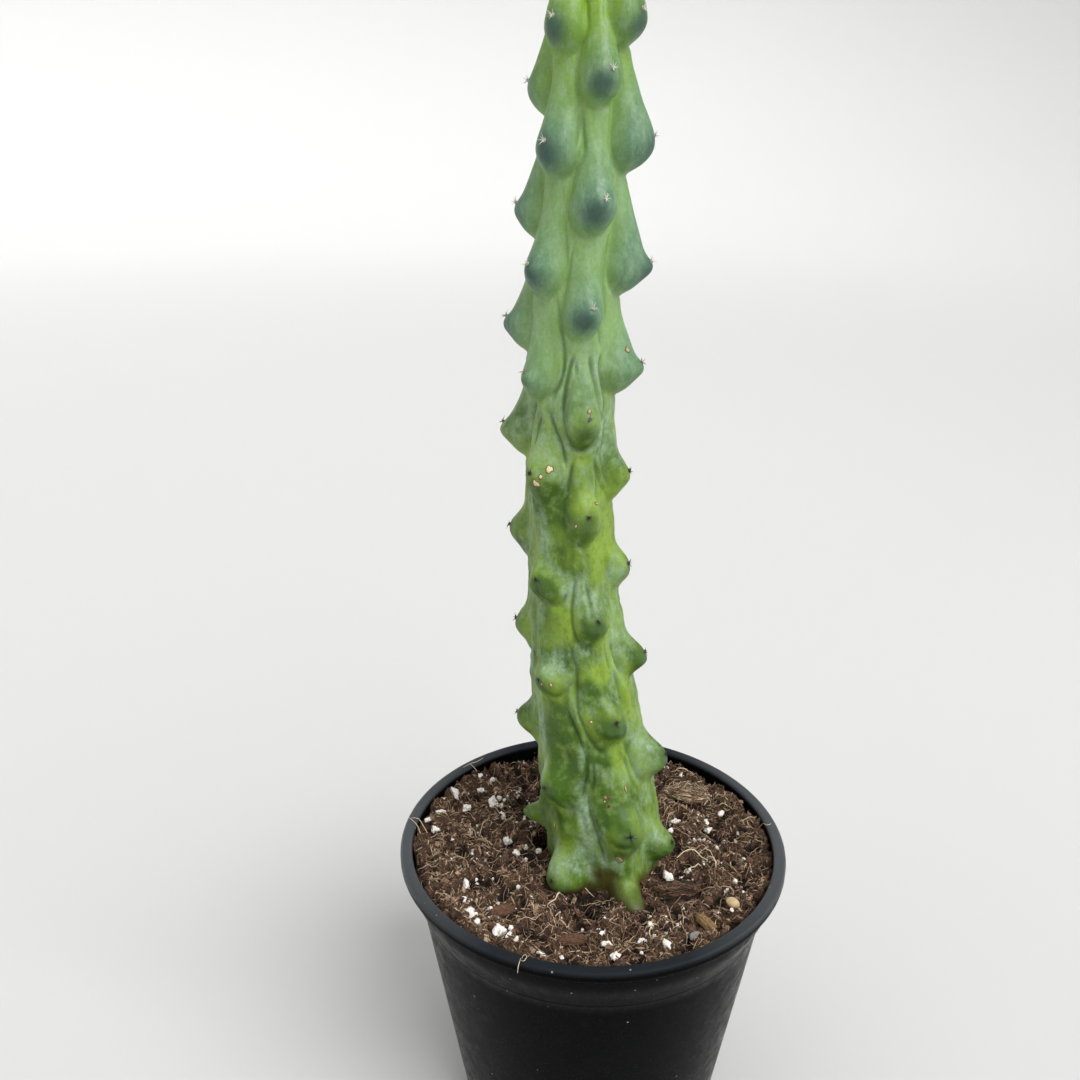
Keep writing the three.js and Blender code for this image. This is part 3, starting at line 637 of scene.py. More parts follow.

# Living cactus skin is waxy: blue-green with a powdery bloom on young knobs and dark round their tips,
# fresh yellow-green in the necks between them, and mottled yellow-green with a whitish film on the old,
# folded part. The dark round the tips is partly painted shade, and the dark green along the folds, seams
# and creases is painted shade.
cactus_skin, shader, place = start_material("waxy_cactus_skin")
height = put(cactus_skin, "SeparateXYZ", {"Vector": place}).outputs["Z"]
rise_value, tip_value, crease_shade_value, film_value, fresh_value, toe_value = [
    put(cactus_skin, "Attribute", {}, attribute_name=name).outputs["Fac"]
    for name in ("rise", "tip", "fold", "film", "fresh", "toe")]
fields = put(cactus_skin, "TexNoise", {"Vector": place, "Scale": every(16), "Detail": 2.0})
mottle = put(cactus_skin, "TexNoise", {"Vector": place, "Scale": every(4.5), "Detail": 5.0,
                                       "Roughness": 0.62})
grain = put(cactus_skin, "TexNoise", {"Vector": place, "Scale": every(0.9), "Detail": 3.0,
                                      "Roughness": 0.6})
youth = put(cactus_skin, "MapRange", {"Value": height, "From Min": 0.312, "From Max": 0.35},
            interpolation_type="SMOOTHSTEP")
crown = put(cactus_skin, "MapRange", {"Value": height, "From Min": 0.415, "From Max": 0.452})
fresh_level = put(cactus_skin, "Math", {0: fresh_value, 1: 0.42, 2: fields}, operation="MULTIPLY_ADD")
patches = put(cactus_skin, "MapRange", {"Value": fresh_level, "From Min": 0.56, "From Max": 0.9})
old_green = put(cactus_skin, "MixRGB", {"Fac": patches, "Color1": "#3f5f0e", "Color2": "#7f9c32"})
flecks = put(cactus_skin, "TexNoise", {"Vector": place, "Scale": every(2.4), "Detail": 4.0,
                                       "Roughness": 0.6})
fleck_share = put(cactus_skin, "MapRange", {"Value": flecks, "From Min": 0.52, "From Max": 0.66,
                                            "To Max": 0.4})
old_flecked = put(cactus_skin, "MixRGB", {"Fac": fleck_share, "Color1": old_green, "Color2": "#3f6110"})
old_spots = put(cactus_skin, "MapRange", {"Value": mottle, "From Min": 0.5, "From Max": 0.66,
                                          "To Max": 0.42})
old_mottled = put(cactus_skin, "MixRGB", {"Fac": old_spots, "Color1": old_flecked, "Color2": "#86a358"})
neck_share = put(cactus_skin, "MapRange", {"Value": rise_value, "From Min": 0.2, "From Max": 0.8})
neck_green = put(cactus_skin, "MixRGB", {"Fac": crown, "Color1": "#80a35a", "Color2": "#83a827"})
knob_green = put(cactus_skin, "MixRGB", {"Fac": crown, "Color1": "#587d5d", "Color2": "#628636"})
young_green = put(cactus_skin, "MixRGB", {"Fac": neck_share, "Color1": neck_green, "Color2": knob_green})
streaked = put(cactus_skin, "Mapping", {"Vector": place, "Scale": (1, 1, 0.4)})
streak_noise = put(cactus_skin, "TexNoise", {"Vector": streaked, "Scale": every(2.6), "Detail": 6.0,
                                             "Roughness": 0.7})
young_spots = put(cactus_skin, "MapRange", {"Value": streak_noise, "From Min": 0.45, "From Max": 0.66,
                                            "To Max": 0.42})
young_mottled = put(cactus_skin, "MixRGB", {"Fac": young_spots, "Color1": young_green, "Color2": "#8fae88"})
skin = put(cactus_skin, "MixRGB", {"Fac": youth, "Color1": old_mottled, "Color2": young_mottled})
# The film of bloom lies where nothing rubs the skin: in the hollows, and over the foot of the stem.
stretched = put(cactus_skin, "Mapping", {"Vector": place, "Scale": (1, 1, 0.5)})
film_noise = put(cactus_skin, "TexNoise", {"Vector": stretched, "Scale": every(4.5), "Detail": 7.0,
                                           "Roughness": 0.72})
film_level = put(cactus_skin, "Math", {0: film_value, 1: 0.42, 2: film_noise}, operation="MULTIPLY_ADD")
film_patch = put(cactus_skin, "MapRange", {"Value": film_level, "From Min": 0.66, "From Max": 0.98})
powder = put(cactus_skin, "MapRange", {"Value": flecks, "From Min": 0.35, "From Max": 0.65, "To Min": 0.35,
                                       "To Max": 1.3})
film_powder = put(cactus_skin, "Math", {0: film_patch, 1: powder}, operation="MULTIPLY")
film_amount = put(cactus_skin, "MapRange", {"Value": height, "From Min": 0.14, "From Max": 0.33,
                                            "To Min": 0.95, "To Max": 0.75})
film_share = put(cactus_skin, "Math", {0: film_powder, 1: film_amount}, operation="MULTIPLY",
                 use_clamp=True)
filmed = put(cactus_skin, "MixRGB", {"Fac": film_share, "Color1": skin, "Color2": "#93ae8e"})
# Painted shade: the skin is painted dark green along the folds, seams and creases, where shade falls.
crease_shade_share = put(cactus_skin, "MapRange", {"Value": crease_shade_value, "From Min": 0.3, "From Max": 1.0,
                                           "To Max": 0.55})
folded = put(cactus_skin, "MixRGB", {"Fac": crease_shade_share, "Color1": filmed, "Color2": "#34502a"})
# Partly painted shade: the dark round the tips, moved away from the light on young front knobs.
tip_colour = put(cactus_skin, "MixRGB", {"Fac": youth, "Color1": "#405e2c", "Color2": "#2d4a46"})
tip_dark_and_shade_share = put(cactus_skin, "MapRange", {"Value": tip_value, "From Min": 0.1, "From Max": 1.0,
                                          "To Max": 0.8}, interpolation_type="SMOOTHSTEP")
tip_darkened_and_shaded = put(cactus_skin, "MixRGB", {"Fac": tip_dark_and_shade_share, "Color1": folded, "Color2": tip_colour})
toe_share = put(cactus_skin, "Math", {0: toe_value, 1: 0.9}, operation="MULTIPLY")
toe_browned = put(cactus_skin, "MixRGB", {"Fac": toe_share, "Color1": tip_darkened_and_shaded, "Color2": "#4a421b"})
cork_level = put(cactus_skin, "Math", {0: film_noise, 1: 0.014, 2: height}, operation="MULTIPLY_ADD")
cork_share = put(cactus_skin, "MapRange", {"Value": cork_level, "From Min": 0.1445, "From Max": 0.1395,
                                           "To Max": 0.6})
corked = put(cactus_skin, "MixRGB", {"Fac": cork_share, "Color1": toe_browned, "Color2": "#45391a"})
grained = put(cactus_skin, "MapRange", {"Value": grain, "From Min": 0.3, "From Max": 0.7, "To Min": 0.9,
                                        "To Max": 1.08})
skin_colour = put(cactus_skin, "HueSaturation", {"Color": corked, "Value": grained})
wax = put(cactus_skin, "MapRange", {"Value": mottle, "From Min": 0.3, "From Max": 0.7, "To Min": 0.4,
                                    "To Max": 0.56})
coarse = put(cactus_skin, "Bump", {"Height": mottle, "Strength": 0.22, "Distance": 0.8 * MM})
fine = put(cactus_skin, "Bump", {"Height": grain, "Strength": 0.12, "Distance": 0.15 * MM,
                                 "Normal": coarse})
plug(shader, {"Base Color": skin_colour, "Roughness": wax, "Normal": fine, "Subsurface Weight": 0.12,
              "Subsurface Scale": 2 * MM, "Subsurface Radius": (0.5, 1.0, 0.25), "Specular IOR Level": 0.4})

stem_faces = closed_faces(STEM_ROWS, STEM_COLUMNS)
stem = make_piece("stem_skin", stem_points, stem_faces, cactus_skin, "cactus_skin")
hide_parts("cactus_stem")
# The folds, seams and creases, kept as painted shade for the skin's colour.
fold_strength = 1 - 0.35 * ease((stem_level - 335) / 30)
painted_crease_shade = np.clip(np.maximum(lines * fold_strength, 0.55 * creases), 0, 1)
for name, field in [("rise", np.clip(rise / 10, 0, 1)), ("tip", tips), ("fold", painted_crease_shade),
                    ("toe", brown_toe), ("film", film_place), ("fresh", fresh_place)]:
    paint(stem, name, np.concatenate([field.ravel(), [field[0].mean(), field[-1].mean()]]))


# An areole sits on the upper side of each knob's tip: a small felt cushion with a few short spines. Young
# ones are pale and woolly, and old ones are worn to a dark star flat on the skin.
def ball(rings, sides):
    """Directions on a unit ball, by even steps of polar angle and azimuth, with its two poles last."""
    polar = np.pi * (np.arange(rings) + 1) / (rings + 1)
    turn = np.linspace(0, 2 * np.pi, sides, endpoint=False)
    ring = np.stack([np.sin(polar)[:, None] * np.cos(turn), np.sin(polar)[:, None] * np.sin(turn),
                     -np.cos(polar)[:, None] + 0 * turn], axis=-1)
    return np.concatenate([ring.reshape(-1, 3), [[0, 0, -1], [0, 0, 1]]]), closed_faces(rings, sides)


def unit(vectors):
    """Vectors at a length of one."""
    return vectors / np.maximum(np.linalg.norm(vectors, axis=-1, keepdims=True), 1e-9)


def on_skin(azimuth, height):
    """Points of the stem's skin at azimuths in degrees and heights, with axes across, up along and out of
    it."""
    row = np.clip(np.searchsorted(meridian_height, height), 1, STEM_ROWS - 2)
    gap = (stem_azimuth[0][None] - np.radians(azimuth)[:, None] + np.pi) % (2 * np.pi) - np.pi
    column = np.abs(gap).argmin(axis=1)
    east = unit(stem_grid[row, (column + 1) % STEM_COLUMNS] - stem_grid[row, column - 1])
    north = unit(stem_grid[row + 1, column] - stem_grid[row - 1, column])
    out = unit(np.cross(east, north))
    return stem_grid[row, column], np.stack([east, unit(np.cross(out, east)), out], axis=1)


AREOLES_FROM = 136
AREOLES_TO = 462
AREOLE_ABOVE_TIP = 1.6
CUSHION_REACH = [0.62, 0.8, 0.42]
areole_random = np.random.default_rng(11)
areole_knobs = np.array(KNOBS)
areole_knobs = areole_knobs[(areole_knobs[:, 1] > AREOLES_FROM) & (areole_knobs[:, 1] < AREOLES_TO)]
areole_azimuth, areole_height = areole_knobs[:, 0], areole_knobs[:, 1]
areole_youth = ease((areole_height - 300) / 90)
# On the young knobs at the front the areoles sit a little to the right.
areole_aside = np.where(np.abs(areole_azimuth - 18) < 12, 3.5 * ease((areole_height - 300) / 60), 0)
areole_places, areole_axes = on_skin(areole_azimuth + areole_aside, areole_height + AREOLE_ABOVE_TIP)
cushion, cushion_faces = ball(7, 12)
areole_count = len(areole_knobs)
areole_size = areole_random.uniform(0.85, 1.15, (areole_count, 1, 1)) * np.array(CUSHION_REACH)
ragged = 1 + 0.16 * areole_random.normal(size=(areole_count, len(cushion), 1))
cushion_points = areole_places[:, None] + (cushion * areole_size * ragged) @ areole_axes

# Areole felt is short matted hair: dull, cream when young and grey-brown when old.
felt, shader, place = start_material("areole_felt")
age = put(felt, "Attribute", {}, attribute_name="youth").outputs["Fac"]
lint = put(felt, "TexNoise", {"Vector": place, "Scale": every(0.35), "Detail": 3.0})
felt_colour = put(felt, "MixRGB", {"Fac": age, "Color1": "#2b241c", "Color2": "#cfcabd"})
felt_mixed = put(felt, "MixRGB", {"Fac": lint, "Color1": felt_colour, "Color2": "#746b5e"})
felt_bump = put(felt, "Bump", {"Height": lint, "Strength": 0.6, "Distance": 0.2 * MM})
plug(shader, {"Base Color": felt_mixed, "Roughness": 0.95, "Normal": felt_bump})
cushions = make_piece("areole_cushions", cushion_points, cushion_faces, felt, "cactus_skin")
paint(cushions, "youth", areole_youth)

SPINES = 7
spine_turn = (np.arange(SPINES) / SPINES * 2 * np.pi + areole_random.uniform(0, 1, (areole_count, 1))
              + areole_random.normal(0, 0.25, (areole_count, SPINES)))
spine_lean = areole_random.uniform(0.15, 0.5, (areole_count, SPINES)) + 0.4 * areole_youth[:, None]
spine_way = np.stack([np.cos(spine_turn), np.sin(spine_turn), spine_lean], axis=-1)
spine_way = unit(np.einsum("nsk,nkx->nsx", spine_way, areole_axes)).reshape(-1, 3)
spine_root = np.repeat(areole_places + 0.35 * areole_axes[:, 2], SPINES, axis=0)
# The knobs low on the front right rib have longer spines.
long_spined = ease((215 - areole_height) / 30) * (np.abs(areole_azimuth - 26) < 4)
spine_reach = 1.45 + 0.25 * areole_youth + 1.3 * long_spined
spine_length = areole_random.uniform(0.9, 1.5, len(spine_root)) * np.repeat(spine_reach, SPINES)


def strands(line, thickness, sides):
    """Round strands along lines of points, one strand to a row: at each point a ring of corners lies square
    to the line, as wide as the thickness there."""
    forward = unit(np.gradient(line, axis=1))
    across = unit(np.cross(forward, np.array([0.02, 0.03, 1.0])))
    over = np.cross(across, forward)
    turn = np.linspace(0, 2 * np.pi, sides, endpoint=False)[:, None]
    ring = np.cos(turn) * across[:, :, None] + np.sin(turn) * over[:, :, None]
    rings = line[:, :, None] + 0.5 * thickness[..., None, None] * ring
    points = np.concatenate([rings.reshape(len(line), -1, 3), line[:, :1], line[:, -1:]], axis=1)
    return points, closed_faces(line.shape[1], sides)


spine_steps = np.linspace(0, 1, 4)
spine_lines = spine_root[:, None] + spine_way[:, None] * spine_length[:, None, None] * spine_steps[:, None]
spine_thickness = (0.38 - 0.08 * np.repeat(areole_youth, SPINES))[:, None] * (1.15 - spine_steps)

# A spine is hard and horny: smooth, tan to nearly black.
spine_horn, shader, _ = start_material("spine_horn")
age = put(spine_horn, "Attribute", {}, attribute_name="youth").outputs["Fac"]
horn_colour = put(spine_horn, "MixRGB", {"Fac": age, "Color1": "#15120f", "Color2": "#dad6cb"})
plug(shader, {"Base Color": horn_colour, "Roughness": 0.4})
spine_points, spine_faces = strands(spine_lines, spine_thickness, 5)
spines = make_piece("spines", spine_points, spine_faces, spine_horn, "cactus_skin")
paint(spines, "youth", areole_youth)


# Old wounds on the skin have dried to cream, tan or brown scabs. Each is a thin crust that lies on the skin,
# in a brown ring of cork.
SCABS = [
    # Azimuth in degrees, height, width, length, lean in degrees, and kind: 0 is cream, 0.5 tan and 1 dark.
    (-21, 306, 2.6, 2.4, 20, 0), (-27, 304, 1.3, 1.2, 0, 0), (-31, 301, 1.7, 2.8, 35, 0.15),
    (20, 327, 1.1, 1.8, -20, 0.25), (69, 346, 1.4, 1.7, 0, 0.3), (7, 209, 0.9, 0.9, 0, 0),
    (-34, 224, 0.9, 1.2, 0, 0.25), (-26, 224, 1.0, 1.2, 0, 0.25), (46, 215, 0.8, 0.8, 0, 1),
    (10, 176, 1.2, 1.2, 0, 0.45), (12, 173, 1.0, 1.3, 0, 1), (14, 176, 0.8, 0.9, 0, 0.8),
    (9, 174, 0.7, 0.8, 0, 0.1), (32, 178, 0.9, 3.0, 10, 0.3), (-53, 157, 0.8, 3.4, 12, 0.15),
    (16, 148, 3.0, 3.8, 0, 0.3), (9, 286, 0.7, 1.3, -40, 0.15), (33, 293, 0.5, 1.4, 60, 0.1),
    (120, 262, 1.8, 2.4, 20, 0.3), (165, 214, 1.5, 1.5, 0, 0.6), (-140, 288, 2.2, 1.6, 50, 0.1),
    (-120, 178, 1.2, 2.6, 10, 0.4),
]
scabs = np.array(SCABS, float)
blob, blob_faces = ball(9, 16)
scab_places, scab_axes = on_skin(scabs[:, 0], scabs[:, 1])
lean = np.radians(scabs[:, 4])
scab_turn = np.stack([np.stack([np.cos(lean), np.sin(lean)], axis=1),
                      np.stack([-np.sin(lean), np.cos(lean)], axis=1)], axis=1)


def crusts(grow, thick):
    """Flat crusts at the scabs' places: a ball squashed to the width, length and thickness, with a ragged
    edge."""
    edge = np.stack([waves(blob[:, :2] * 2, 2.2, seed=100 + k, count=8) for k in range(len(scabs))])
    size = np.concatenate([scabs[:, 2:4] / 2 + grow, np.full((len(scabs), 1), thick)], axis=1)
    flat = blob[None] * (1 + 0.16 * edge)[..., None] * size[:, None]
    flat[..., :2] = flat[..., :2] @ scab_turn
    return scab_places[:, None] + flat @ scab_axes


# A scab is dead corky tissue: dry and dull.
scab_cork, shader, place = start_material("dry_scab_cork")
kind = put(scab_cork, "Attribute", {}, attribute_name="kind").outputs["Fac"]
pale_to_tan = put(scab_cork, "MapRange", {"Value": kind, "From Max": 0.5})
tan_to_dark = put(scab_cork, "MapRange", {"Value": kind, "From Min": 0.5})
crust = put(scab_cork, "TexNoise", {"Vector": place, "Scale": every(0.5), "Detail": 4.0})
tan = put(scab_cork, "MixRGB", {"Fac": pale_to_tan, "Color1": "#e2d5a6", "Color2": "#8f7e50"})
dark = put(scab_cork, "MixRGB", {"Fac": tan_to_dark, "Color1": tan, "Color2": "#2e2415"})
crust_share = put(scab_cork, "MapRange", {"Value": crust, "To Max": 0.25})
cork_colour = put(scab_cork, "MixRGB", {"Fac": crust_share, "Color1": dark, "Color2": "#7f6647"})
cork_bump = put(scab_cork, "Bump", {"Height": crust, "Strength": 0.5, "Distance": 0.2 * MM})
plug(shader, {"Base Color": cork_colour, "Roughness": 0.85, "Normal": cork_bump})
crust_points = np.concatenate([crusts(grow=0.32, thick=0.22), crusts(grow=0, thick=0.42)])
scab_piece = make_piece("scabs", crust_points, blob_faces, scab_cork, "cactus_skin")
paint(scab_piece, "kind", np.concatenate([np.full(len(scabs), 0.8), scabs[:, 5]]))


# The potting mix is peat, composted bark and coir, pressed into the pot round the stem. Its top is a rough
# bed of clods with dark pockets between them, a few millimetres below the lip.
MIX_LEVEL = 133.0
MIX_GAP = 0.35
MIX_CELLS = 264
HOLLOW_X = -21
HOLLOW_Y = 3
HOLLOW_DEPTH = 4.5
HOLLOW_RADIUS = 7
BANK_FROM = 60
BANK_OVER = 10
LARGE_LUMP = 3.2
# Deep pockets in the bed: x, y, radius and depth.
POCKETS = [
    (-55, -5, 3.2, 4), (-42, -12, 3.2, 4.5), (-26, -6, 3, 4), (-22, 6, 3.4, 3), (-33, -29, 3.5, 4.5),
    (-55, -34, 2.6, 4), (40, -22, 2.4, 4), (33, 9, 3, 3.5), (46, 5, 2.5, 3), (23, -35, 2.4, 3),
    (53, -33, 2.4, 3), (72, 39, 3, 5), (70, -11, 2.2, 4), (-33, 33, 3, 3.5), (-42, -23, 2.4, 3),
    (-2, -36, 2.6, 3), (60, 27, 3, 3.5), (2, -31, 10, 3.2), (10, 44, 3, 4), (-12, 60, 3, 4),
    (44, 60, 3, 4), (-66, 30, 2.4, 3), (-8, -68, 2.4, 3), (36, -60, 2.2, 3),
]


def own_axes(name):
    """A CAD piece's middle, its three own axes from its longest, and its half sizes along them, in
    millimetres."""
    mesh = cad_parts[name].data
    points = np.empty(len(mesh.vertices) * 3)
    mesh.vertices.foreach_get("co", points)
    points = points.reshape(-1, 3) / MM
    middle = (points.min(axis=0) + points.max(axis=0)) / 2
    spread = np.linalg.eigh(np.cov((points - middle).T))[1].T[::-1]
    spread[2] = np.cross(spread[0], spread[1])
    reach = (points - middle) @ spread.T
    return middle + (reach.max(axis=0) + reach.min(axis=0)) / 2 @ spread, spread, np.ptp(reach, axis=0) / 2


lumps = [own_axes(name) for name in sorted(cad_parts)
         if name not in ("nursery_pot", "cactus_stem", "potting_mix")]
large_lumps = [lump for lump in lumps if lump[2][0] > LARGE_LUMP]


def bank(x, y):
    """How far the bed has risen towards the wall, from 0 to 1."""
    return ease((np.hypot(x, y) - BANK_FROM) / BANK_OVER)


def mix_height(x, y):
    """The bed's height: slow swells and the hollow left of the stem, clods of four sizes, the bank along the
    wall, and the pockets. Round each lump that lies in the bed the clods are calmed."""
    spot = np.stack([x, y], axis=-1)
    height = MIX_LEVEL + 0.6 * np.sin(0.23 * x + 1.1) * np.cos(0.19 * y - 0.4)
    height += 0.42 * np.sin(0.17 * x + 0.41 * y + 2.3) * np.cos(0.33 * x - 0.8)
    height -= HOLLOW_DEPTH * np.exp(-((x - HOLLOW_X) ** 2 + (y - HOLLOW_Y) ** 2) / HOLLOW_RADIUS ** 2)
    clods = waves(spot, 7.5, seed=32)
    rough = 1.1 * waves(spot, 17, seed=31) + 1.5 * np.minimum(clods, 0.5) - 0.5
    rough += 0.8 * np.abs(waves(spot, 3.6, seed=33)) + 0.25 * waves(spot, 1.8, seed=34)
    rough -= 2.2 * ease(1 - np.abs(waves(spot, 13, seed=35)) / 0.2) * ease(0.6 + waves(spot, 19, seed=36))
    rough += 3.0 * bank(x, y) - 3.0 * np.exp(-((x + 20) ** 2 + (y - 66) ** 2) / 700)
    for pocket_x, pocket_y, wide, deep in POCKETS:
        rough -= deep * np.exp(-(((x - pocket_x) ** 2 + (y - pocket_y) ** 2) / wide ** 2) ** 1.5)
    for middle, axes, reach in large_lumps:
        near = ((x - middle[0]) ** 2 + (y - middle[1]) ** 2) / (reach[0] + 0.6) ** 2
        rough = rough - (0.85 * rough + 0.15 * reach[0] * (reach[0] > 4)) * np.exp(-near ** 2)
    return height + rough


# The bed is a square grid of points drawn out to a disc. From its brink a skirt goes down inside the wall.
across, away = np.meshgrid(np.linspace(-1, 1, MIX_CELLS), np.linspace(-1, 1, MIX_CELLS))
disc_x = across * np.sqrt(1 - away ** 2 / 2)
disc_y = away * np.sqrt(1 - across ** 2 / 2)
disc_reach = np.hypot(disc_x, disc_y)
bed_radius = float(inside_radius(MIX_LEVEL)) - MIX_GAP
bed_height = mix_height(disc_x * bed_radius, disc_y * bed_radius)
bed_height -= 0.8 * ease((disc_reach - 0.97) / 0.03)
fit = (inside_radius(bed_height) - MIX_GAP) / bed_radius
fit = 1 + (fit - 1) * ease((disc_reach - 0.9) / 0.1)
bed = np.stack([disc_x * bed_radius * fit, disc_y * bed_radius * fit, bed_height], axis=-1).reshape(-1, 3)
cell = np.arange(MIX_CELLS * MIX_CELLS).reshape(MIX_CELLS, MIX_CELLS)
bed_quads = np.stack([cell[:-1, :-1], cell[:-1, 1:], cell[1:, 1:], cell[1:, :-1]], axis=-1).reshape(-1, 4)
brink = np.concatenate([cell[0, :-1], cell[:-1, -1], cell[-1, :0:-1], cell[:0:-1, 0]])
brink_turn = np.arctan2(bed[brink, 1], bed[brink, 0])
skirt_levels = np.array([127.0, STEP_HEIGHT, 60.0, floor_height + 2, floor_height + MIX_GAP])
skirt_radius = inside_radius(skirt_levels) - MIX_GAP - np.array([0, 0, 0, 0, 1.6])
skirt = np.stack([skirt_radius[:, None] * np.cos(brink_turn), skirt_radius[:, None] * np.sin(brink_turn),
                  skirt_levels[:, None] + 0 * brink_turn], axis=-1)
skirt_ids = np.arange(skirt[..., 0].size).reshape(len(skirt_levels), -1) + len(bed)
rows = np.concatenate([brink[None], skirt_ids])
ahead = np.roll(rows, -1, axis=1)
skirt_quads = np.stack([rows[:-1], rows[1:], ahead[1:], ahead[:-1]], axis=-1).reshape(-1, 4)
mix_centre = len(bed) + skirt_ids.size
mix_floor = np.stack([np.full(len(brink), mix_centre), ahead[-1], rows[-1]], axis=1)
mix_points = np.concatenate([bed, skirt.reshape(-1, 3), [[0, 0, floor_height + MIX_GAP]]])

# Damp peat is dark red-brown and dull, with paler dry crumbs on its high spots. Its pockets and low spots
# are painted near-black: painted shade.
peat, shader, place = start_material("damp_peat_mix")
clod = put(peat, "TexNoise", {"Vector": place, "Scale": every(5), "Detail": 6.0, "Roughness": 0.7})
crumb = put(peat, "TexNoise", {"Vector": place, "Scale": every(0.8), "Detail": 4.0, "Roughness": 0.7})
peat_dark = put(peat, "MixRGB", {"Fac": clod, "Color1": "#22150f", "Color2": "#5d4636"})
crumb_share = put(peat, "MapRange", {"Value": crumb, "From Min": 0.5, "From Max": 0.75, "To Max": 0.6})
peat_colour = put(peat, "MixRGB", {"Fac": crumb_share, "Color1": peat_dark, "Color2": "#967b64"})
# Painted shade: the bed's pockets and low spots are painted towards near-black.
pocket_shade_value = put(peat, "Attribute", {}, attribute_name="low").outputs["Fac"]
peat_shaded = put(peat, "MixRGB", {"Fac": pocket_shade_value, "Color1": peat_colour, "Color2": "#17110d"})
peat_bump = put(peat, "Bump", {"Height": crumb, "Strength": 0.9, "Distance": 0.6 * MM})
plug(shader, {"Base Color": peat_shaded, "Roughness": 0.93, "Normal": peat_bump, "Specular IOR Level": 0.3})
mix_faces = [np.concatenate([bed_quads, skirt_quads]), mix_floor]
mix = make_piece("peat_bed", mix_points, mix_faces, peat, "potting_mix")
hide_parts("potting_mix")


def lowness(x, y):
    """How deep the bed lies at a spot below its usual level there, from 0 on a clod to 1 in a pocket."""
    return ease((0.15 + 2.2 * bank(x, y) - (mix_height(x, y) - MIX_LEVEL)) / 2.6)


# The bed's painted shade: darker the deeper a spot lies below its usual level.
below_the_bed = np.ones(len(mix_points) - len(bed))
paint(mix, "low", np.concatenate([0.9 * lowness(bed[:, 0], bed[:, 1]), below_the_bed]))


# The crumbs of peat and bark lie loose over the bed, pressed against each other and the stem. They are
# broken, angular grains from half a millimetre to a few millimetres across.
CRUMBS = 3800
stem_foot_row = int(np.searchsorted(meridian_height, MIX_LEVEL))
foot_x, foot_y = stem_grid[stem_foot_row, :, 0], stem_grid[stem_foot_row, :, 1]
foot_centre = (float(along(CENTRE_X, np.array(MIX_LEVEL))), CENTRE_Y)
foot_reach = np.hypot(foot_x - foot_centre[0], foot_y - foot_centre[1])


def scatter(random, count, edge, clear):
    """Even random spots on the bed: inside a distance from the wall, clear of the stem by a margin and of
    the lumps and the deep pockets."""
    radius = (bed_radius - edge) * np.sqrt(random.uniform(0, 1, 2 * count))
    turn = random.uniform(-np.pi, np.pi, 2 * count)
    x, y = radius * np.cos(turn), radius * np.sin(turn)
    azimuth = np.arctan2(x - foot_centre[0], -(y - foot_centre[1]))
    reach = np.interp(azimuth, stem_azimuth[0], foot_reach, period=2 * np.pi)
    free = np.hypot(x - foot_centre[0], y - foot_centre[1]) > reach + clear
    for middle, axes, size in lumps:
        free &= np.hypot(x - middle[0], y - middle[1]) > 0.8 * size[0]
    for pocket_x, pocket_y, wide, deep in POCKETS:
        free &= np.hypot(x - pocket_x, y - pocket_y) > 0.7 * min(wide, 4)
    return x[free][:count], y[free][:count]


def settled(middle, reach, share):
    """A lump's middle, raised where the rough bed covers it until a share of its height stands out."""
    bedded = float(mix_height(middle[:1], middle[1:2])[0]) + share * reach[2]
    return np.array([middle[0], middle[1], max(middle[2], bedded)])


def turned(random, count):
    """Random rotations: the orthonormal axes of random vectors, kept right-handed."""
    first = unit(random.normal(size=(count, 3)))
    second = unit(np.cross(first, unit(random.normal(size=(count, 3)))))
    return np.stack([first, second, np.cross(first, second)], axis=1)


def broken(random, shape, x, y, size, narrowest, widest, lift):
    """Angular grains: copies of a ball with jagged points, squashed and turned at random, each set on the
    bed's height plus its lift."""
    jagged = shape * random.uniform(0.6, 1.3, (len(x), len(shape), 1))
    squashed = jagged * random.uniform(narrowest, widest, (len(x), 1, 3)) * size[:, None, None] / 2
    return squashed @ turned(random, len(x)) + np.stack([x, y, mix_height(x, y) + lift], axis=-1)[:, None]


crumb_random = np.random.default_rng(41)
crumb_x, crumb_y = scatter(crumb_random, CRUMBS, edge=1.2, clear=-0.5)
crumb_size = np.clip(np.exp(crumb_random.normal(0.2, 0.5, len(crumb_x))), 0.5, 2.9)
grain_shape, grain_faces = ball(2, 6)
crumb_points = broken(crumb_random, grain_shape, crumb_x, crumb_y, crumb_size, narrowest=0.55, widest=1.3,
                      lift=0.12 * crumb_size)

# Each crumb has its own tone, from black peat to red-brown and tan bark.
crumb_stuff, shader, place = start_material("peat_and_bark_crumbs")
tone = put(crumb_stuff, "Attribute", {}, attribute_name="tone").outputs["Fac"]
dark_half = put(crumb_stuff, "MapRange", {"Value": tone, "From Max": 0.6})
pale_half = put(crumb_stuff, "MapRange", {"Value": tone, "From Min": 0.6})
crumb_grain = put(crumb_stuff, "TexNoise", {"Vector": place, "Scale": every(0.6), "Detail": 4.0})
brown = put(crumb_stuff, "MixRGB", {"Fac": dark_half, "Color1": "#20140e", "Color2": "#6a4f3f"})
bark_tone = put(crumb_stuff, "MixRGB", {"Fac": pale_half, "Color1": brown, "Color2": "#b59b80"})
veined = put(crumb_stuff, "MapRange", {"Value": crumb_grain, "From Min": 0.3, "From Max": 0.7,
                                       "To Min": 0.65, "To Max": 1.3})
crumb_colour = put(crumb_stuff, "HueSaturation", {"Color": bark_tone, "Value": veined})
crumb_bump = put(crumb_stuff, "Bump", {"Height": crumb_grain, "Strength": 0.7, "Distance": 0.3 * MM})
plug(shader, {"Base Color": crumb_colour, "Roughness": 0.9, "Normal": crumb_bump,
              "Specular IOR Level": 0.3})
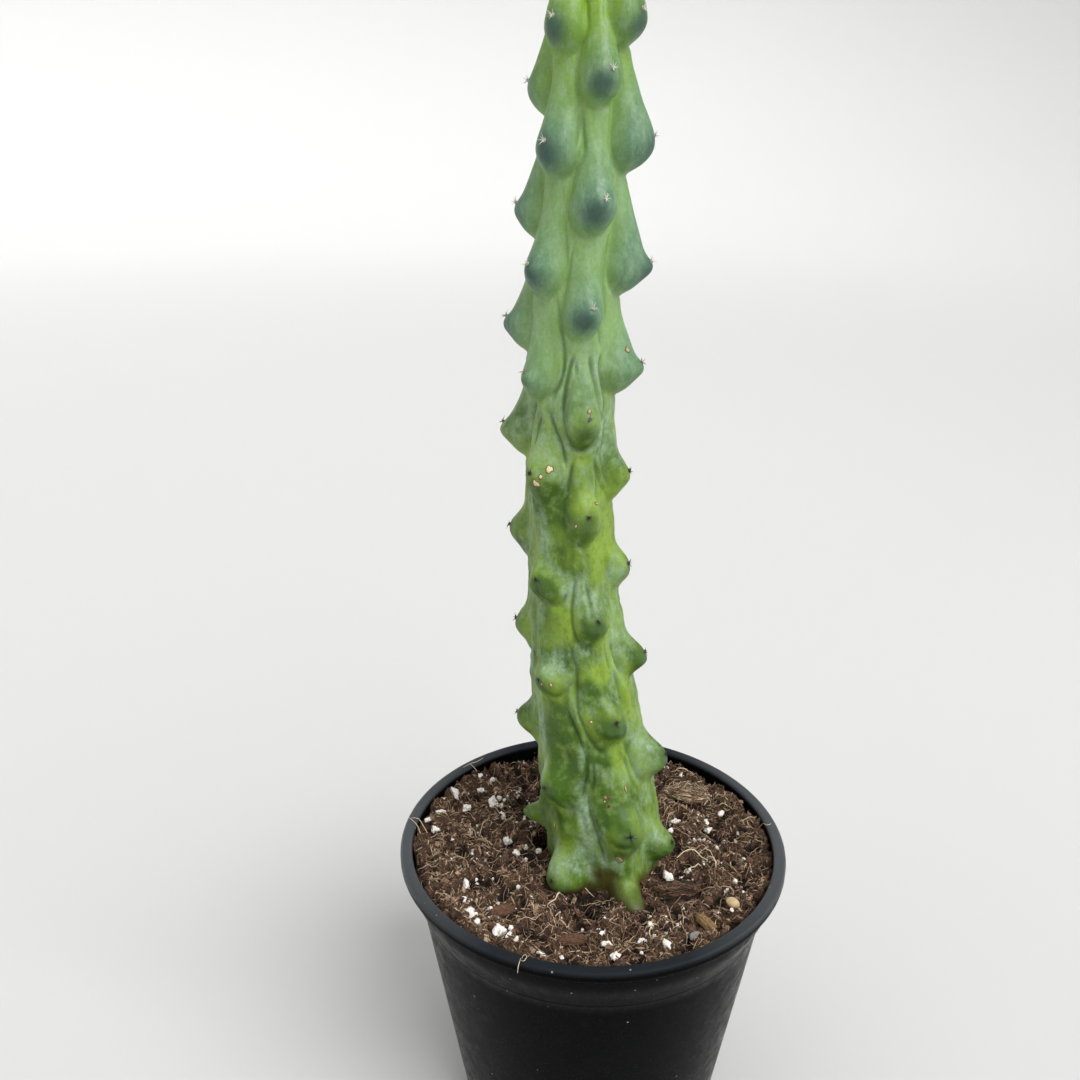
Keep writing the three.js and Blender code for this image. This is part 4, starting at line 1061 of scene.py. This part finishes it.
# Shreds of peat and bark lie between the crumbs, long and thin and nearly level.
SHREDS = 5600
shred_x, shred_y = scatter(crumb_random, SHREDS, edge=2, clear=0.5)
shred_count = len(shred_x)
shred_shape, shred_faces = ball(2, 5)
shred_shape = shred_shape * crumb_random.uniform(0.6, 1.3, (shred_count, len(shred_shape), 1))
shred_size = np.stack([crumb_random.uniform(thin, thick, shred_count)
                       for thin, thick in [(0.8, 2.6), (0.15, 0.42), (0.1, 0.3)]], axis=1)
shred_turn = crumb_random.uniform(0, 2 * np.pi, shred_count)
shred_tilt = crumb_random.normal(0, 0.3, shred_count)
shred_long = np.stack([np.cos(shred_turn) * np.cos(shred_tilt), np.sin(shred_turn) * np.cos(shred_tilt),
                       np.sin(shred_tilt)], axis=1)
shred_wide = unit(np.cross(unit(crumb_random.normal(size=(shred_count, 3)) * [0.4, 0.4, 1]), shred_long))
shred_axes = np.stack([shred_long, shred_wide, np.cross(shred_long, shred_wide)], axis=1)
shred_points = (shred_shape * shred_size[:, None]) @ shred_axes
shred_height = mix_height(shred_x, shred_y) + crumb_random.uniform(0.1, 0.9, shred_count)
shred_points += np.stack([shred_x, shred_y, shred_height], axis=-1)[:, None]
shreds = make_piece("peat_shreds", shred_points, shred_faces, crumb_stuff, "potting_mix", smooth=False)
# Shreds in the bed's low spots are painted darker: painted shade.
shred_tone = crumb_random.normal(0.63, 0.33, shred_count) - 0.6 * lowness(shred_x, shred_y)
paint(shreds, "tone", np.clip(shred_tone, 0, 1))
crumbs = make_piece("loose_crumbs", crumb_points, grain_faces, crumb_stuff, "potting_mix", smooth=False)
# Crumbs in the bed's low spots are painted darker: painted shade.
crumb_tone = crumb_random.normal(0.43, 0.26, len(crumb_x)) - 0.5 * lowness(crumb_x, crumb_y)
paint(crumbs, "tone", np.clip(crumb_tone, 0, 1))


# Coir and root fibres are matted through the top of the mix. Most are short brown hairs, and some are long
# pale ones that curl over the crumbs. Each is a tapered strand with a bend of its own.
def lying_fibres(random, x, y, length, heading, bend, lift, points):
    """Lines along the bed: from each spot the heading turns by the bend over the length, and the height is
    the bed's with a low arch over it."""
    t = np.linspace(0, 1, points)
    wobble = 0.22 * np.sin(2 * np.pi * t[None] * random.uniform(0.5, 1.6, (len(x), 1))
                          + random.uniform(0, 6.3, (len(x), 1)))
    way = heading[:, None] + bend[:, None] * (t - 0.5) + wobble
    step = (length / (points - 1))[:, None]
    line_x = x[:, None] + np.cumsum(np.cos(way) * step, axis=1)
    line_y = y[:, None] + np.cumsum(np.sin(way) * step, axis=1)
    reach = np.hypot(line_x, line_y)
    inside = np.minimum(1, (bed_radius - 0.8) / np.maximum(reach, 1e-6))
    line_x, line_y = line_x * inside, line_y * inside
    height = mix_height(line_x, line_y)
    arch = lift[:, None] * (0.3 + np.sin(np.pi * t))
    height = 0.5 * height + 0.5 * height.mean(axis=1, keepdims=True) + arch
    return np.stack([line_x, line_y, height], axis=-1)


HAIRS = 6400
hair_random = np.random.default_rng(53)
hair_x, hair_y = scatter(hair_random, HAIRS, edge=1.5, clear=0.5)
hair_count = len(hair_x)
hair_length = np.clip(np.exp(hair_random.normal(1.1, 0.45, hair_count)), 1.3, 9)
hair_lines = lying_fibres(
    hair_random, hair_x, hair_y, hair_length, hair_random.uniform(0, 2 * np.pi, hair_count),
    hair_random.normal(0, 0.6, hair_count), hair_random.uniform(0.1, 1.3, hair_count), 4)
hair_taper = np.array([0.55, 1.0, 0.9, 0.35])
hair_width = np.clip(np.exp(hair_random.normal(-1.75, 0.35, (hair_count, 1))), 0.09, 0.36)
hair_points, hair_faces = strands(hair_lines, hair_width * hair_taper, 3)

# Coir is a dry, slightly glossy plant fibre, from dark brown to straw.
coir, shader, _ = start_material("coir_and_root_fibre")
tone = put(coir, "Attribute", {}, attribute_name="tone").outputs["Fac"]
dark_half = put(coir, "MapRange", {"Value": tone, "From Max": 0.5})
pale_half = put(coir, "MapRange", {"Value": tone, "From Min": 0.5})
brown = put(coir, "MixRGB", {"Fac": dark_half, "Color1": "#2f1f16", "Color2": "#8d6c50"})
straw = put(coir, "MixRGB", {"Fac": pale_half, "Color1": brown, "Color2": "#e6d3b2"})
plug(shader, {"Base Color": straw, "Roughness": 0.62})
hairs = make_piece("short_fibres", hair_points, hair_faces, coir, "coir")
# Hairs in the bed's low spots are painted darker: painted shade.
hair_tone = hair_random.normal(0.52, 0.3, hair_count) - 0.6 * lowness(hair_x, hair_y)
paint(hairs, "tone", np.clip(hair_tone, 0, 1))

# The long fibres that stand out: x, y, heading in degrees, length, bend in radians, arch, thickness and
# tone.
LONG_FIBRES = [
    (-49, 5, 125, 13, 0.5, 1.0, 0.5, 0.8), (-49, 5, 175, 10, 0.3, 0.8, 0.45, 0.75),
    (-49, 5, 245, 11, 0.4, 0.8, 0.45, 0.75), (-49, 5, -45, 10, 0.2, 1.0, 0.5, 0.85),
    (-49, 5, 60, 13, -0.6, 1.2, 0.45, 0.8), (-38, 14, 100, 9, 0.5, 1.5, 0.4, 0.8),
    (-38, 18, 130, 12, 0.9, 1.5, 0.4, 0.75), (-37, 12, -80, 7, 0.6, 1.0, 0.5, 0.8),
    (-35, 10, -100, 7, -0.5, 1.0, 0.45, 0.8), (-18, -38, 52, 11, 0.2, 1.2, 0.6, 0.95),
    (-10, -30, 5, 12, -1.5, 1.6, 0.45, 0.85), (-16, -25, 80, 6, 0.8, 1.0, 0.4, 0.7),
    (34, -8, 8, 16, -1.4, 1.8, 0.6, 0.95), (38, -16, 20, 14, -2.2, 2.0, 0.6, 0.95),
    (47, -3, -65, 9, -1.2, 2.0, 0.6, 1.0), (44, -4, 10, 8, -1.5, 1.6, 0.45, 0.9),
    (36, 1, 5, 12, 0.6, 1.0, 0.4, 0.7), (54, 34, -30, 9, 0.3, 1.4, 0.6, 0.9),
    (33, 24, 40, 12, -2.4, 1.6, 0.4, 0.8), (30, 12, 80, 8, 1.2, 1.4, 0.35, 0.75),
    (25, -54, 80, 10, -2.0, 2.0, 0.5, 0.95), (29, -47, -60, 6, 0.8, 1.2, 0.35, 0.85),
    (24, -43, 30, 6, 1.2, 1.0, 0.35, 0.8), (-40, -25, 48, 14, 0.2, 1.0, 0.4, 0.85),
    (-62, -12, -5, 13, -1.8, 0.8, 0.35, 0.7), (-66, -5, -80, 9, 1.4, 0.8, 0.35, 0.75),
    (-55, 20, -90, 6, 2.6, 0.8, 0.3, 0.7), (-60, 30, 80, 7, 0.6, 1.0, 0.4, 0.8),
    (-48, 33, 70, 9, 1.8, 1.2, 0.4, 0.85), (-40, 44, 120, 10, -2.0, 1.4, 0.4, 0.8),
    (62, 16, 20, 10, 1.0, 1.4, 0.4, 0.8), (66, 20, -70, 8, 0.6, 1.0, 0.35, 0.75),
    (55, -6, -10, 14, 0.5, 0.8, 0.35, 0.7), (58, -12, 100, 8, 0.8, 1.2, 0.5, 0.9),
    (62, -14, 60, 7, -0.5, 1.0, 0.5, 0.9), (-5, -66, 170, 14, 0.6, 0.8, 0.4, 0.8),
    (-12, -62, 10, 14, 0.4, 0.9, 0.45, 0.85), (12, -54, -20, 12, 1.5, 1.0, 0.35, 0.7),
    (48, 52, 160, 12, 0.8, 1.2, 0.5, 0.85), (20, 46, 150, 14, -0.8, 1.6, 0.4, 0.8),
    (-10, 52, 30, 13, 1.4, 1.4, 0.4, 0.75), (50, -40, -110, 16, 0.3, 0.9, 0.5, 0.9),
]
long_values = np.array(LONG_FIBRES, float)
extra_random = np.random.default_rng(67)
EXTRA_LONG = 420
LONG_POINTS = 11
extra_x, extra_y = scatter(extra_random, EXTRA_LONG, edge=5, clear=1.5)
extra_count = len(extra_x)
extra_values = np.stack([
    extra_x, extra_y, extra_random.uniform(0, 360, extra_count), extra_random.uniform(5, 15, extra_count),
    extra_random.normal(0, 0.9, extra_count), extra_random.uniform(0.4, 1.8, extra_count),
    extra_random.uniform(0.15, 0.32, extra_count), extra_random.uniform(0.45, 0.9, extra_count)], axis=1)
long_values = np.concatenate([long_values, extra_values])
long_lines = lying_fibres(extra_random, long_values[:, 0], long_values[:, 1], long_values[:, 3],
                          np.radians(long_values[:, 2]), long_values[:, 4], long_values[:, 5], LONG_POINTS)
long_taper = 0.35 + 0.65 * np.sin(np.pi * np.linspace(0.08, 0.92, LONG_POINTS))
long_points, long_faces = strands(long_lines, long_values[:, 6:7] * long_taper, 4)
long_piece = make_piece("long_fibres", long_points, long_faces, coir, "coir")
paint(long_piece, "tone", long_values[:, 7])

# A few fibres lie over the lip, where the mix was spilled. Each is a line of x, y and height above the
# lip's top.
LIP_FIBRES = [
    [(-24.2, -71.5, -3.0), (-24.4, -73.2, -0.2), (-24.6, -75.2, 0.35), (-24.9, -77.2, 0.3),
     (-25.0, -78.6, 0.1), (-25.1, -79.6, -1.0)],
    [(-24.6, -74.5, 0.35), (-23.2, -75.8, 1.0), (-22.2, -74.6, 1.6), (-22.6, -72.9, 1.2),
     (-23.6, -72.4, 0.4), (-24.0, -73.8, 0.3)],
    [(-79.3, 8.0, 0.2), (-76.5, 4.5, 0.7), (-73.8, 1.2, 0.0), (-71.5, -2.5, -4.5), (-69.5, -5.5, -6.0)],
    [(-77.8, 7.0, 0.4), (-74.5, 6.0, 0.9), (-71.5, 3.0, -1.5), (-68.5, 0.5, -5.5)],
    [(-60.5, 47.5, 0.3), (-57.5, 50.5, 0.6), (-54.5, 53.0, 0.3), (-52.0, 56.5, 0.2)],
    [(-57.5, 50.5, 0.5), (-55.0, 49.0, -1.0), (-52.0, 47.5, -5.0)],
    [(76.5, 12.0, 0.3), (74.4, 10.5, 0.6), (73.2, 13.5, -0.8), (71.5, 15.0, -5.0)],
]
lip_lines = [curve(line, LONG_POINTS // (len(line) - 1) + 1) for line in LIP_FIBRES]
even_steps = [np.linspace(0, len(line) - 1, LONG_POINTS).round().astype(int) for line in lip_lines]
lip_lines = np.stack([line[steps] for line, steps in zip(lip_lines, even_steps)]) + [0, 0, RIM_HEIGHT]
lip_points, lip_faces = strands(lip_lines, np.full((len(lip_lines), 1), 0.28) * long_taper, 5)
lip_piece = make_piece("fibres_over_the_lip", lip_points, lip_faces, coir, "coir")
paint(lip_piece, "tone", [0.92])


# Perlite is volcanic glass puffed by heat into light white grains, pitted and angular. The largest lie in
# the top of the mix, each on its own, and the smallest are specks among the crumbs.
def chipped(directions, cuts, seed):
    """A convex broken shape: in each direction, how far out the nearest of some random flat cuts lies,
    rounded where cuts meet by joining their reciprocals as the root of a sum of sixteenth powers."""
    random = np.random.default_rng(seed)
    normals = unit(random.normal(size=(cuts, 3)))
    depth = random.uniform(0.62, 1.0, cuts)
    facing = np.maximum(directions @ normals.T, 0.02) / depth
    return 1 / (facing ** 16).sum(axis=-1) ** (1 / 16)


# Perlite is bright white glass froth: dull, rough, with fine pits that shade a little grey and peat stains.
perlite, shader, place = start_material("expanded_perlite")
froth = put(perlite, "TexVoronoi", {"Vector": place, "Scale": every(0.55)})
stain = put(perlite, "TexNoise", {"Vector": place, "Scale": every(1.6), "Detail": 4.0})
froth_share = put(perlite, "MapRange", {"Value": froth, "From Min": 0.1, "From Max": 0.6})
froth_colour = put(perlite, "MixRGB", {"Fac": froth_share, "Color1": "#cfc6bd", "Color2": "#f4f0ea"})
stain_share = put(perlite, "MapRange", {"Value": stain, "From Min": 0.54, "From Max": 0.74, "To Max": 0.55})
perlite_colour = put(perlite, "MixRGB", {"Fac": stain_share, "Color1": froth_colour, "Color2": "#a8917a"})
pits = put(perlite, "Bump", {"Height": froth, "Strength": 0.5, "Distance": 0.25 * MM})
plug(shader, {"Base Color": perlite_colour, "Roughness": 0.8, "Normal": pits, "Subsurface Weight": 0.1,
              "Subsurface Scale": 0.6 * MM})

knob_shape, knob_faces = ball(20, 32)
perlite_names = sorted(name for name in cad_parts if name.startswith("perlite_grain"))
for number, name in enumerate(perlite_names, 1):
    middle, axes, reach = own_axes(name)
    out = chipped(knob_shape, 15, 300 + number)[:, None] * knob_shape
    uneven = 0.12 * waves(knob_shape, 1.2, seed=400 + number)
    uneven = uneven + 0.07 * waves(knob_shape, 0.42, seed=500 + number)
    out *= 1 + uneven[:, None]
    out /= np.abs(out).max(axis=0)
    swollen = 1.25 + 0.2 * (reach[0] > 2.2)
    points = settled(middle, reach, share=0.85) + swollen * out * reach @ axes
    grain = make_piece(f"perlite_{number:02d}_broken", points, knob_faces, perlite, "perlite")
    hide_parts(name)

# The specks that show one by one, as x, y and size, and then the rest by chance.
SPECKS = [
    (-42, 31, 2.6), (-34, 47, 2.2), (-63, 39, 2.0), (-59, -1, 1.8), (-43, -28, 2.4), (-43, -49, 2.6),
    (-34, -56, 2.4), (-27, -60, 2.2), (-29, -69, 1.8), (5, -57, 2.2), (24, -57, 1.6), (19, -64, 1.8),
    (-10, -69, 1.6), (61, 8, 2.4), (53, 3, 2.0), (46, 10, 2.4), (42, 7, 1.8), (51, -5, 2.0),
    (58, -20, 2.0), (-34, -32, 1.8), (-49, -39, 2.2), (-62, 56, 1.6), (-40, 22, 2.0), (-26, -10, 2.4),
    (-22, -4, 2.6), (34, 12, 2.2), (31, 14, 1.8), (32, -16, 2.6), (-35, -55, 3.6), (-30, -58, 3.0),
    (-30, -52, 3.0), (-46, -47, 3.2), (-43, -51, 3.0), (-28, 0, 3.0), (-35, 5, 2.6), (-68, 17, 3.2),
    (-71, 9, 2.4), (-68, 6, 2.8), (-41, 27, 2.8), (-45, 25, 2.4), (-50, -26, 2.8), (-52, 44, 2.4),
]
speck_random = np.random.default_rng(71)
SPECK_COUNT = 330
speck_x, speck_y = scatter(speck_random, SPECK_COUNT, edge=3, clear=1.5)
# About two in three have drifted most of the way to one of 46 gathering places.
GATHERINGS = 46
DRIFTERS, DRIFT_SHARE = 0.66, 0.93
gather = speck_random.integers(0, GATHERINGS, len(speck_x))
drift = np.where(speck_random.uniform(0, 1, len(speck_x)) < DRIFTERS, DRIFT_SHARE, 0)
speck_x = speck_x + drift * (speck_x[gather] - speck_x)
speck_y = speck_y + drift * (speck_y[gather] - speck_y)
speck_size = np.clip(np.exp(speck_random.normal(-0.15, 0.5, len(speck_x))), 0.35, 2.2)
chosen = np.array(SPECKS)
speck_x, speck_y = np.append(chosen[:, 0], speck_x), np.append(chosen[:, 1], speck_y)
speck_size = np.append(chosen[:, 2], speck_size)
speck_ball, speck_faces = ball(3, 7)
speck_points = broken(speck_random, speck_ball, speck_x, speck_y, speck_size, narrowest=0.7, widest=1.2,
                      lift=0.35 * speck_size + 0.35)
make_piece("perlite_specks", speck_points, speck_faces, perlite, "perlite", smooth=False)


# Chips of pine bark lie flat in the mix at the front and on the left: reddish splinters, split along the
# grain, with frayed ends.
bark, shader, place = start_material("split_pine_bark")
layers = put(bark, "TexNoise", {"Vector": place, "Scale": every(1.1), "Detail": 5.0, "Roughness": 0.7})
broad = put(bark, "TexNoise", {"Vector": place, "Scale": every(4), "Detail": 2.0})
tan_share = put(bark, "Attribute", {}, attribute_name="tan").outputs["Fac"]
bark_hue = put(bark, "MixRGB", {"Fac": tan_share, "Color1": "#94604a", "Color2": "#c9aa78"})
bark_red = put(bark, "MixRGB", {"Fac": broad, "Color1": "#55392a", "Color2": bark_hue})
layer_share = put(bark, "MapRange", {"Value": layers, "From Min": 0.35, "From Max": 0.68, "To Max": 0.8})
bark_dark = put(bark, "MixRGB", {"Fac": tan_share, "Color1": "#2c1a11", "Color2": "#6d5330"})
bark_colour = put(bark, "MixRGB", {"Fac": layer_share, "Color1": bark_dark, "Color2": bark_red})
bark_bump = put(bark, "Bump", {"Height": layers, "Strength": 0.8, "Distance": 0.5 * MM})
plug(shader, {"Base Color": bark_colour, "Roughness": 0.82, "Normal": bark_bump})


def splinter(directions, seed, ridges, square=0.72):
    """A rough block: a ball squared off by lowering its powers, with ridges along its length and ragged
    ends."""
    block = np.sign(directions) * np.abs(directions) ** square
    ripple = waves(directions[:, 1:] * ridges, 1.0, seed) * 0.1
    ragged = waves(directions * [0.3, 3, 3], 1.0, seed + 1) * 0.1 * np.abs(directions[:, 0])
    out = block * (1 + ripple + ragged)[:, None]
    return out / np.abs(out).max(axis=0)


long_shape, long_shape_faces = ball(34, 56)
for number, stands, swollen in [(1, 1.3, 1.05), (2, 2.0, 1.2), (3, 1.3, 1.05)]:
    middle, axes, reach = own_axes(f"bark_chip_{number}")
    shape = swollen * splinter(long_shape, seed=500 + number, ridges=2.4)
    points = settled(middle, reach, stands) + shape * reach @ axes
    chip = make_piece(f"bark_splinter_{number}", points, long_shape_faces, bark, "bark")
    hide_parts(f"bark_chip_{number}")
    paint(chip, "tan", [1.0 if number == 2 else 0.15])


# A block of peat fibre lies right of the stem's foot, and a clump of coir at the back right. Both are matted
# fibre that holds its shape, with loose ends standing out of it.
matted, shader, place = start_material("matted_peat_fibre")
tangle = put(matted, "TexNoise", {"Vector": place, "Scale": every(0.9), "Detail": 6.0, "Roughness": 0.75,
                                  "Distortion": 1.5})
tangle_share = put(matted, "MapRange", {"Value": tangle, "From Min": 0.38, "From Max": 0.68})
matted_colour = put(matted, "MixRGB", {"Fac": tangle_share, "Color1": "#160e09", "Color2": "#54402f"})
matted_bump = put(matted, "Bump", {"Height": tangle, "Strength": 0.9, "Distance": 0.6 * MM})
plug(shader, {"Base Color": matted_colour, "Roughness": 0.9, "Normal": matted_bump})


def tufts(random, name, count, length, thickness):
    """Fibres over a CAD piece's upper half: each lies in or on its rounded shape and runs mostly along
    it."""
    middle, axes, reach = own_axes(name)
    start = unit(random.normal(size=(count, 3)))
    start[:, 2] = np.abs(start[:, 2])
    upward = axes if axes[2, 2] > 0 else axes * [[1], [-1], [-1]]
    t = np.linspace(-0.5, 0.5, 6)
    way = unit(random.normal(size=(count, 3)) * [2.8, 0.6, 0.25])
    way = unit(way - 0.8 * start * (way * start).sum(axis=1, keepdims=True))
    span = random.uniform(0.4, 1.1, (count, 1, 1)) * length
    bow = random.normal(0, 0.8, (count, 1)) * (0.25 - t ** 2)
    root = start[:, None] * reach * random.uniform(0.72, 1.12, (count, 1, 1))
    local = root + way[:, None] * t[:, None] * span
    local[..., 1] += bow * 2
    local[..., 2] += np.abs(bow)
    width = random.uniform(*thickness, (count, 1)) * (1.1 - np.abs(t))
    return strands(middle + local @ upward, width, 3)


tuft_random = np.random.default_rng(83)
for name, cover, count, length, slot, tones, swollen in [
        ("peat_block", "peat_fibre_block", 420, 5.0, "potting_mix", (0.05, 0.5), 1.05),
        ("coir_clump", "coir_fibre_clump", 620, 12.0, "coir", (0.0, 1.0), 0.75)]:
    middle, axes, reach = own_axes(name)
    rested = settled(middle, reach, share=0.75)
    shape = swollen * splinter(long_shape, seed=600 + count, ridges=3.6, square=0.33)
    points = rested + shape * reach @ axes
    core = make_piece(cover, points, long_shape_faces, matted, slot)
    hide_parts(name)
    fibre_points, fibre_faces = tufts(tuft_random, name, count, length, (0.14, 0.5))
    loose = make_piece(cover + "_hairs", fibre_points + rested - middle, fibre_faces, coir, slot)
    paint(loose, "tone", tuft_random.uniform(*tones, count))


# A grey river pebble and a cream granule of fired clay lie at the front right. Both are smooth, rounded
# grains.
grey_stone, shader, place = start_material("grey_pebble")
stone_grain = put(grey_stone, "TexNoise", {"Vector": place, "Scale": every(0.7), "Detail": 5.0})
stone_colour = put(grey_stone, "MixRGB", {"Fac": stone_grain, "Color1": "#77736e", "Color2": "#aaa7a3"})
plug(shader, {"Base Color": stone_colour, "Roughness": 0.6})
pale_clay, shader, place = start_material("fired_cream_clay")
clay_pores = put(pale_clay, "TexNoise", {"Vector": place, "Scale": every(0.9), "Detail": 5.0})
clay_colour = put(pale_clay, "MixRGB", {"Fac": clay_pores, "Color1": "#a98a5c", "Color2": "#dcc79d"})
clay_bump = put(pale_clay, "Bump", {"Height": clay_pores, "Strength": 0.4, "Distance": 0.3 * MM})
plug(shader, {"Base Color": clay_colour, "Roughness": 0.85, "Normal": clay_bump})
for name, cover, stuff, slot in [("pebble", "river_pebble", grey_stone, "grey_stone"),
                                 ("clay_grain", "clay_granule", pale_clay, "pale_clay")]:
    middle, axes, reach = own_axes(name)
    out = knob_shape * (1 + 0.07 * waves(knob_shape, 1.6, seed=len(name)))[:, None]
    out /= np.abs(out).max(axis=0)
    points = settled(middle, reach, share=0.6) + 1.15 * out * reach @ axes
    stone = make_piece(cover, points, knob_faces, stuff, slot)
    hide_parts(name)


# The stage is a plain pale floor that curves up into a backdrop all round, far from the pot. Soft light
# comes from high on the right and from overhead, with weak panels on both sides and behind, in an even pale
# surround.
BACKDROP = [(3000, 0), (3600, 60), (4200, 340), (4700, 900), (5000, 1800), (5100, 3000)]
BACKDROP_SIDES = 96
sweep = np.array([(0, 0), *curve(BACKDROP, 6), (0, 0)])
sweep_points, (sweep_quads, sweep_ends) = lathe(sweep, BACKDROP_SIDES)
floor_mesh = make_mesh("floor", sweep_points[:-1], [sweep_quads, sweep_ends[:BACKDROP_SIDES]])
floor = add_object("floor", floor_mesh)
floor_paint, shader, _ = start_material("matt_pale_floor")
plug(shader, {"Base Color": "#cfcfce", "Roughness": 0.9})
floor_mesh.materials.append(floor_paint)

world = bpy.data.worlds.new("pale_surround")
bpy.context.scene.world = world
world.use_nodes = True
plug(world.node_tree.nodes["Background"], {"Color": "#ffffff", "Strength": 0.12})
# Each lamp: name, kind, where it stands, what it faces, its spread (radians, or metres) and strength or
# power.
LAMPS = [
    ("key_light", "SUN", (0.8, -0.8, 1.35), (0.0, 0.0, 0.25), 0.8, 3.4),
    ("overhead_light", "SUN", (-0.25, -0.2, 1.7), (0.0, 0.0, 0.15), 1.1, 1.0),
    ("fill_panel", "AREA", (-1.0, -0.7, 0.9), (0.0, 0.0, 0.2), 0.9, 1.6),
    ("back_panel", "AREA", (0.2, 1.2, 1.2), (0.0, 0.0, 0.25), 0.9, 1.0),
    ("side_panel", "AREA", (1.1, 0.1, 0.5), (0.0, 0.0, 0.2), 0.6, 1.8),
]
for name, kind_of_lamp, stand, aim, spread, power in LAMPS:
    lamp = bpy.data.lights.new(name, kind_of_lamp)
    if kind_of_lamp == "SUN":
        lamp.angle = spread
    else:
        lamp.size = spread
    lamp.energy = power
    panel = add_object(name, lamp)
    panel.location = stand
    facing = np.array(aim) - np.array(stand)
    level = math.hypot(facing[0], facing[1])
    heading = math.atan2(facing[1], facing[0])
    panel.rotation_euler = (math.atan2(level, -facing[2]), 0, heading - math.pi / 2)

# The camera stands just in front of the pot and looks a little down, so that the stem's top and the pot's
# foot both leave the square picture.
CAMERA_PLACE = (0.0, -0.374517537, 0.413308814)
CAMERA_YAW = -0.0581452858
CAMERA_DOWN = 0.359713461
FOCAL_PIXELS = 1060.0
PICTURE_PIXELS = 1080.0
camera_data = bpy.data.cameras.new("camera")
camera_data.sensor_width = 36.0
camera_data.lens = camera_data.sensor_width * FOCAL_PIXELS / PICTURE_PIXELS
camera_data.clip_start = 0.02
camera = add_object("camera", camera_data)
level_way = np.array([math.sin(CAMERA_YAW), math.cos(CAMERA_YAW)]) * math.cos(CAMERA_DOWN)
forward = np.array([*level_way, -math.sin(CAMERA_DOWN)])
right = np.array([math.cos(CAMERA_YAW), -math.sin(CAMERA_YAW), 0])
upright = np.cross(right, forward)
turned_axes = np.stack([right, upright, -forward, CAMERA_PLACE], axis=1)
camera.matrix_world = Matrix([*turned_axes.tolist(), [0, 0, 0, 1]])
bpy.context.scene.camera = camera
bpy.context.scene.view_settings.view_transform = "Standard"
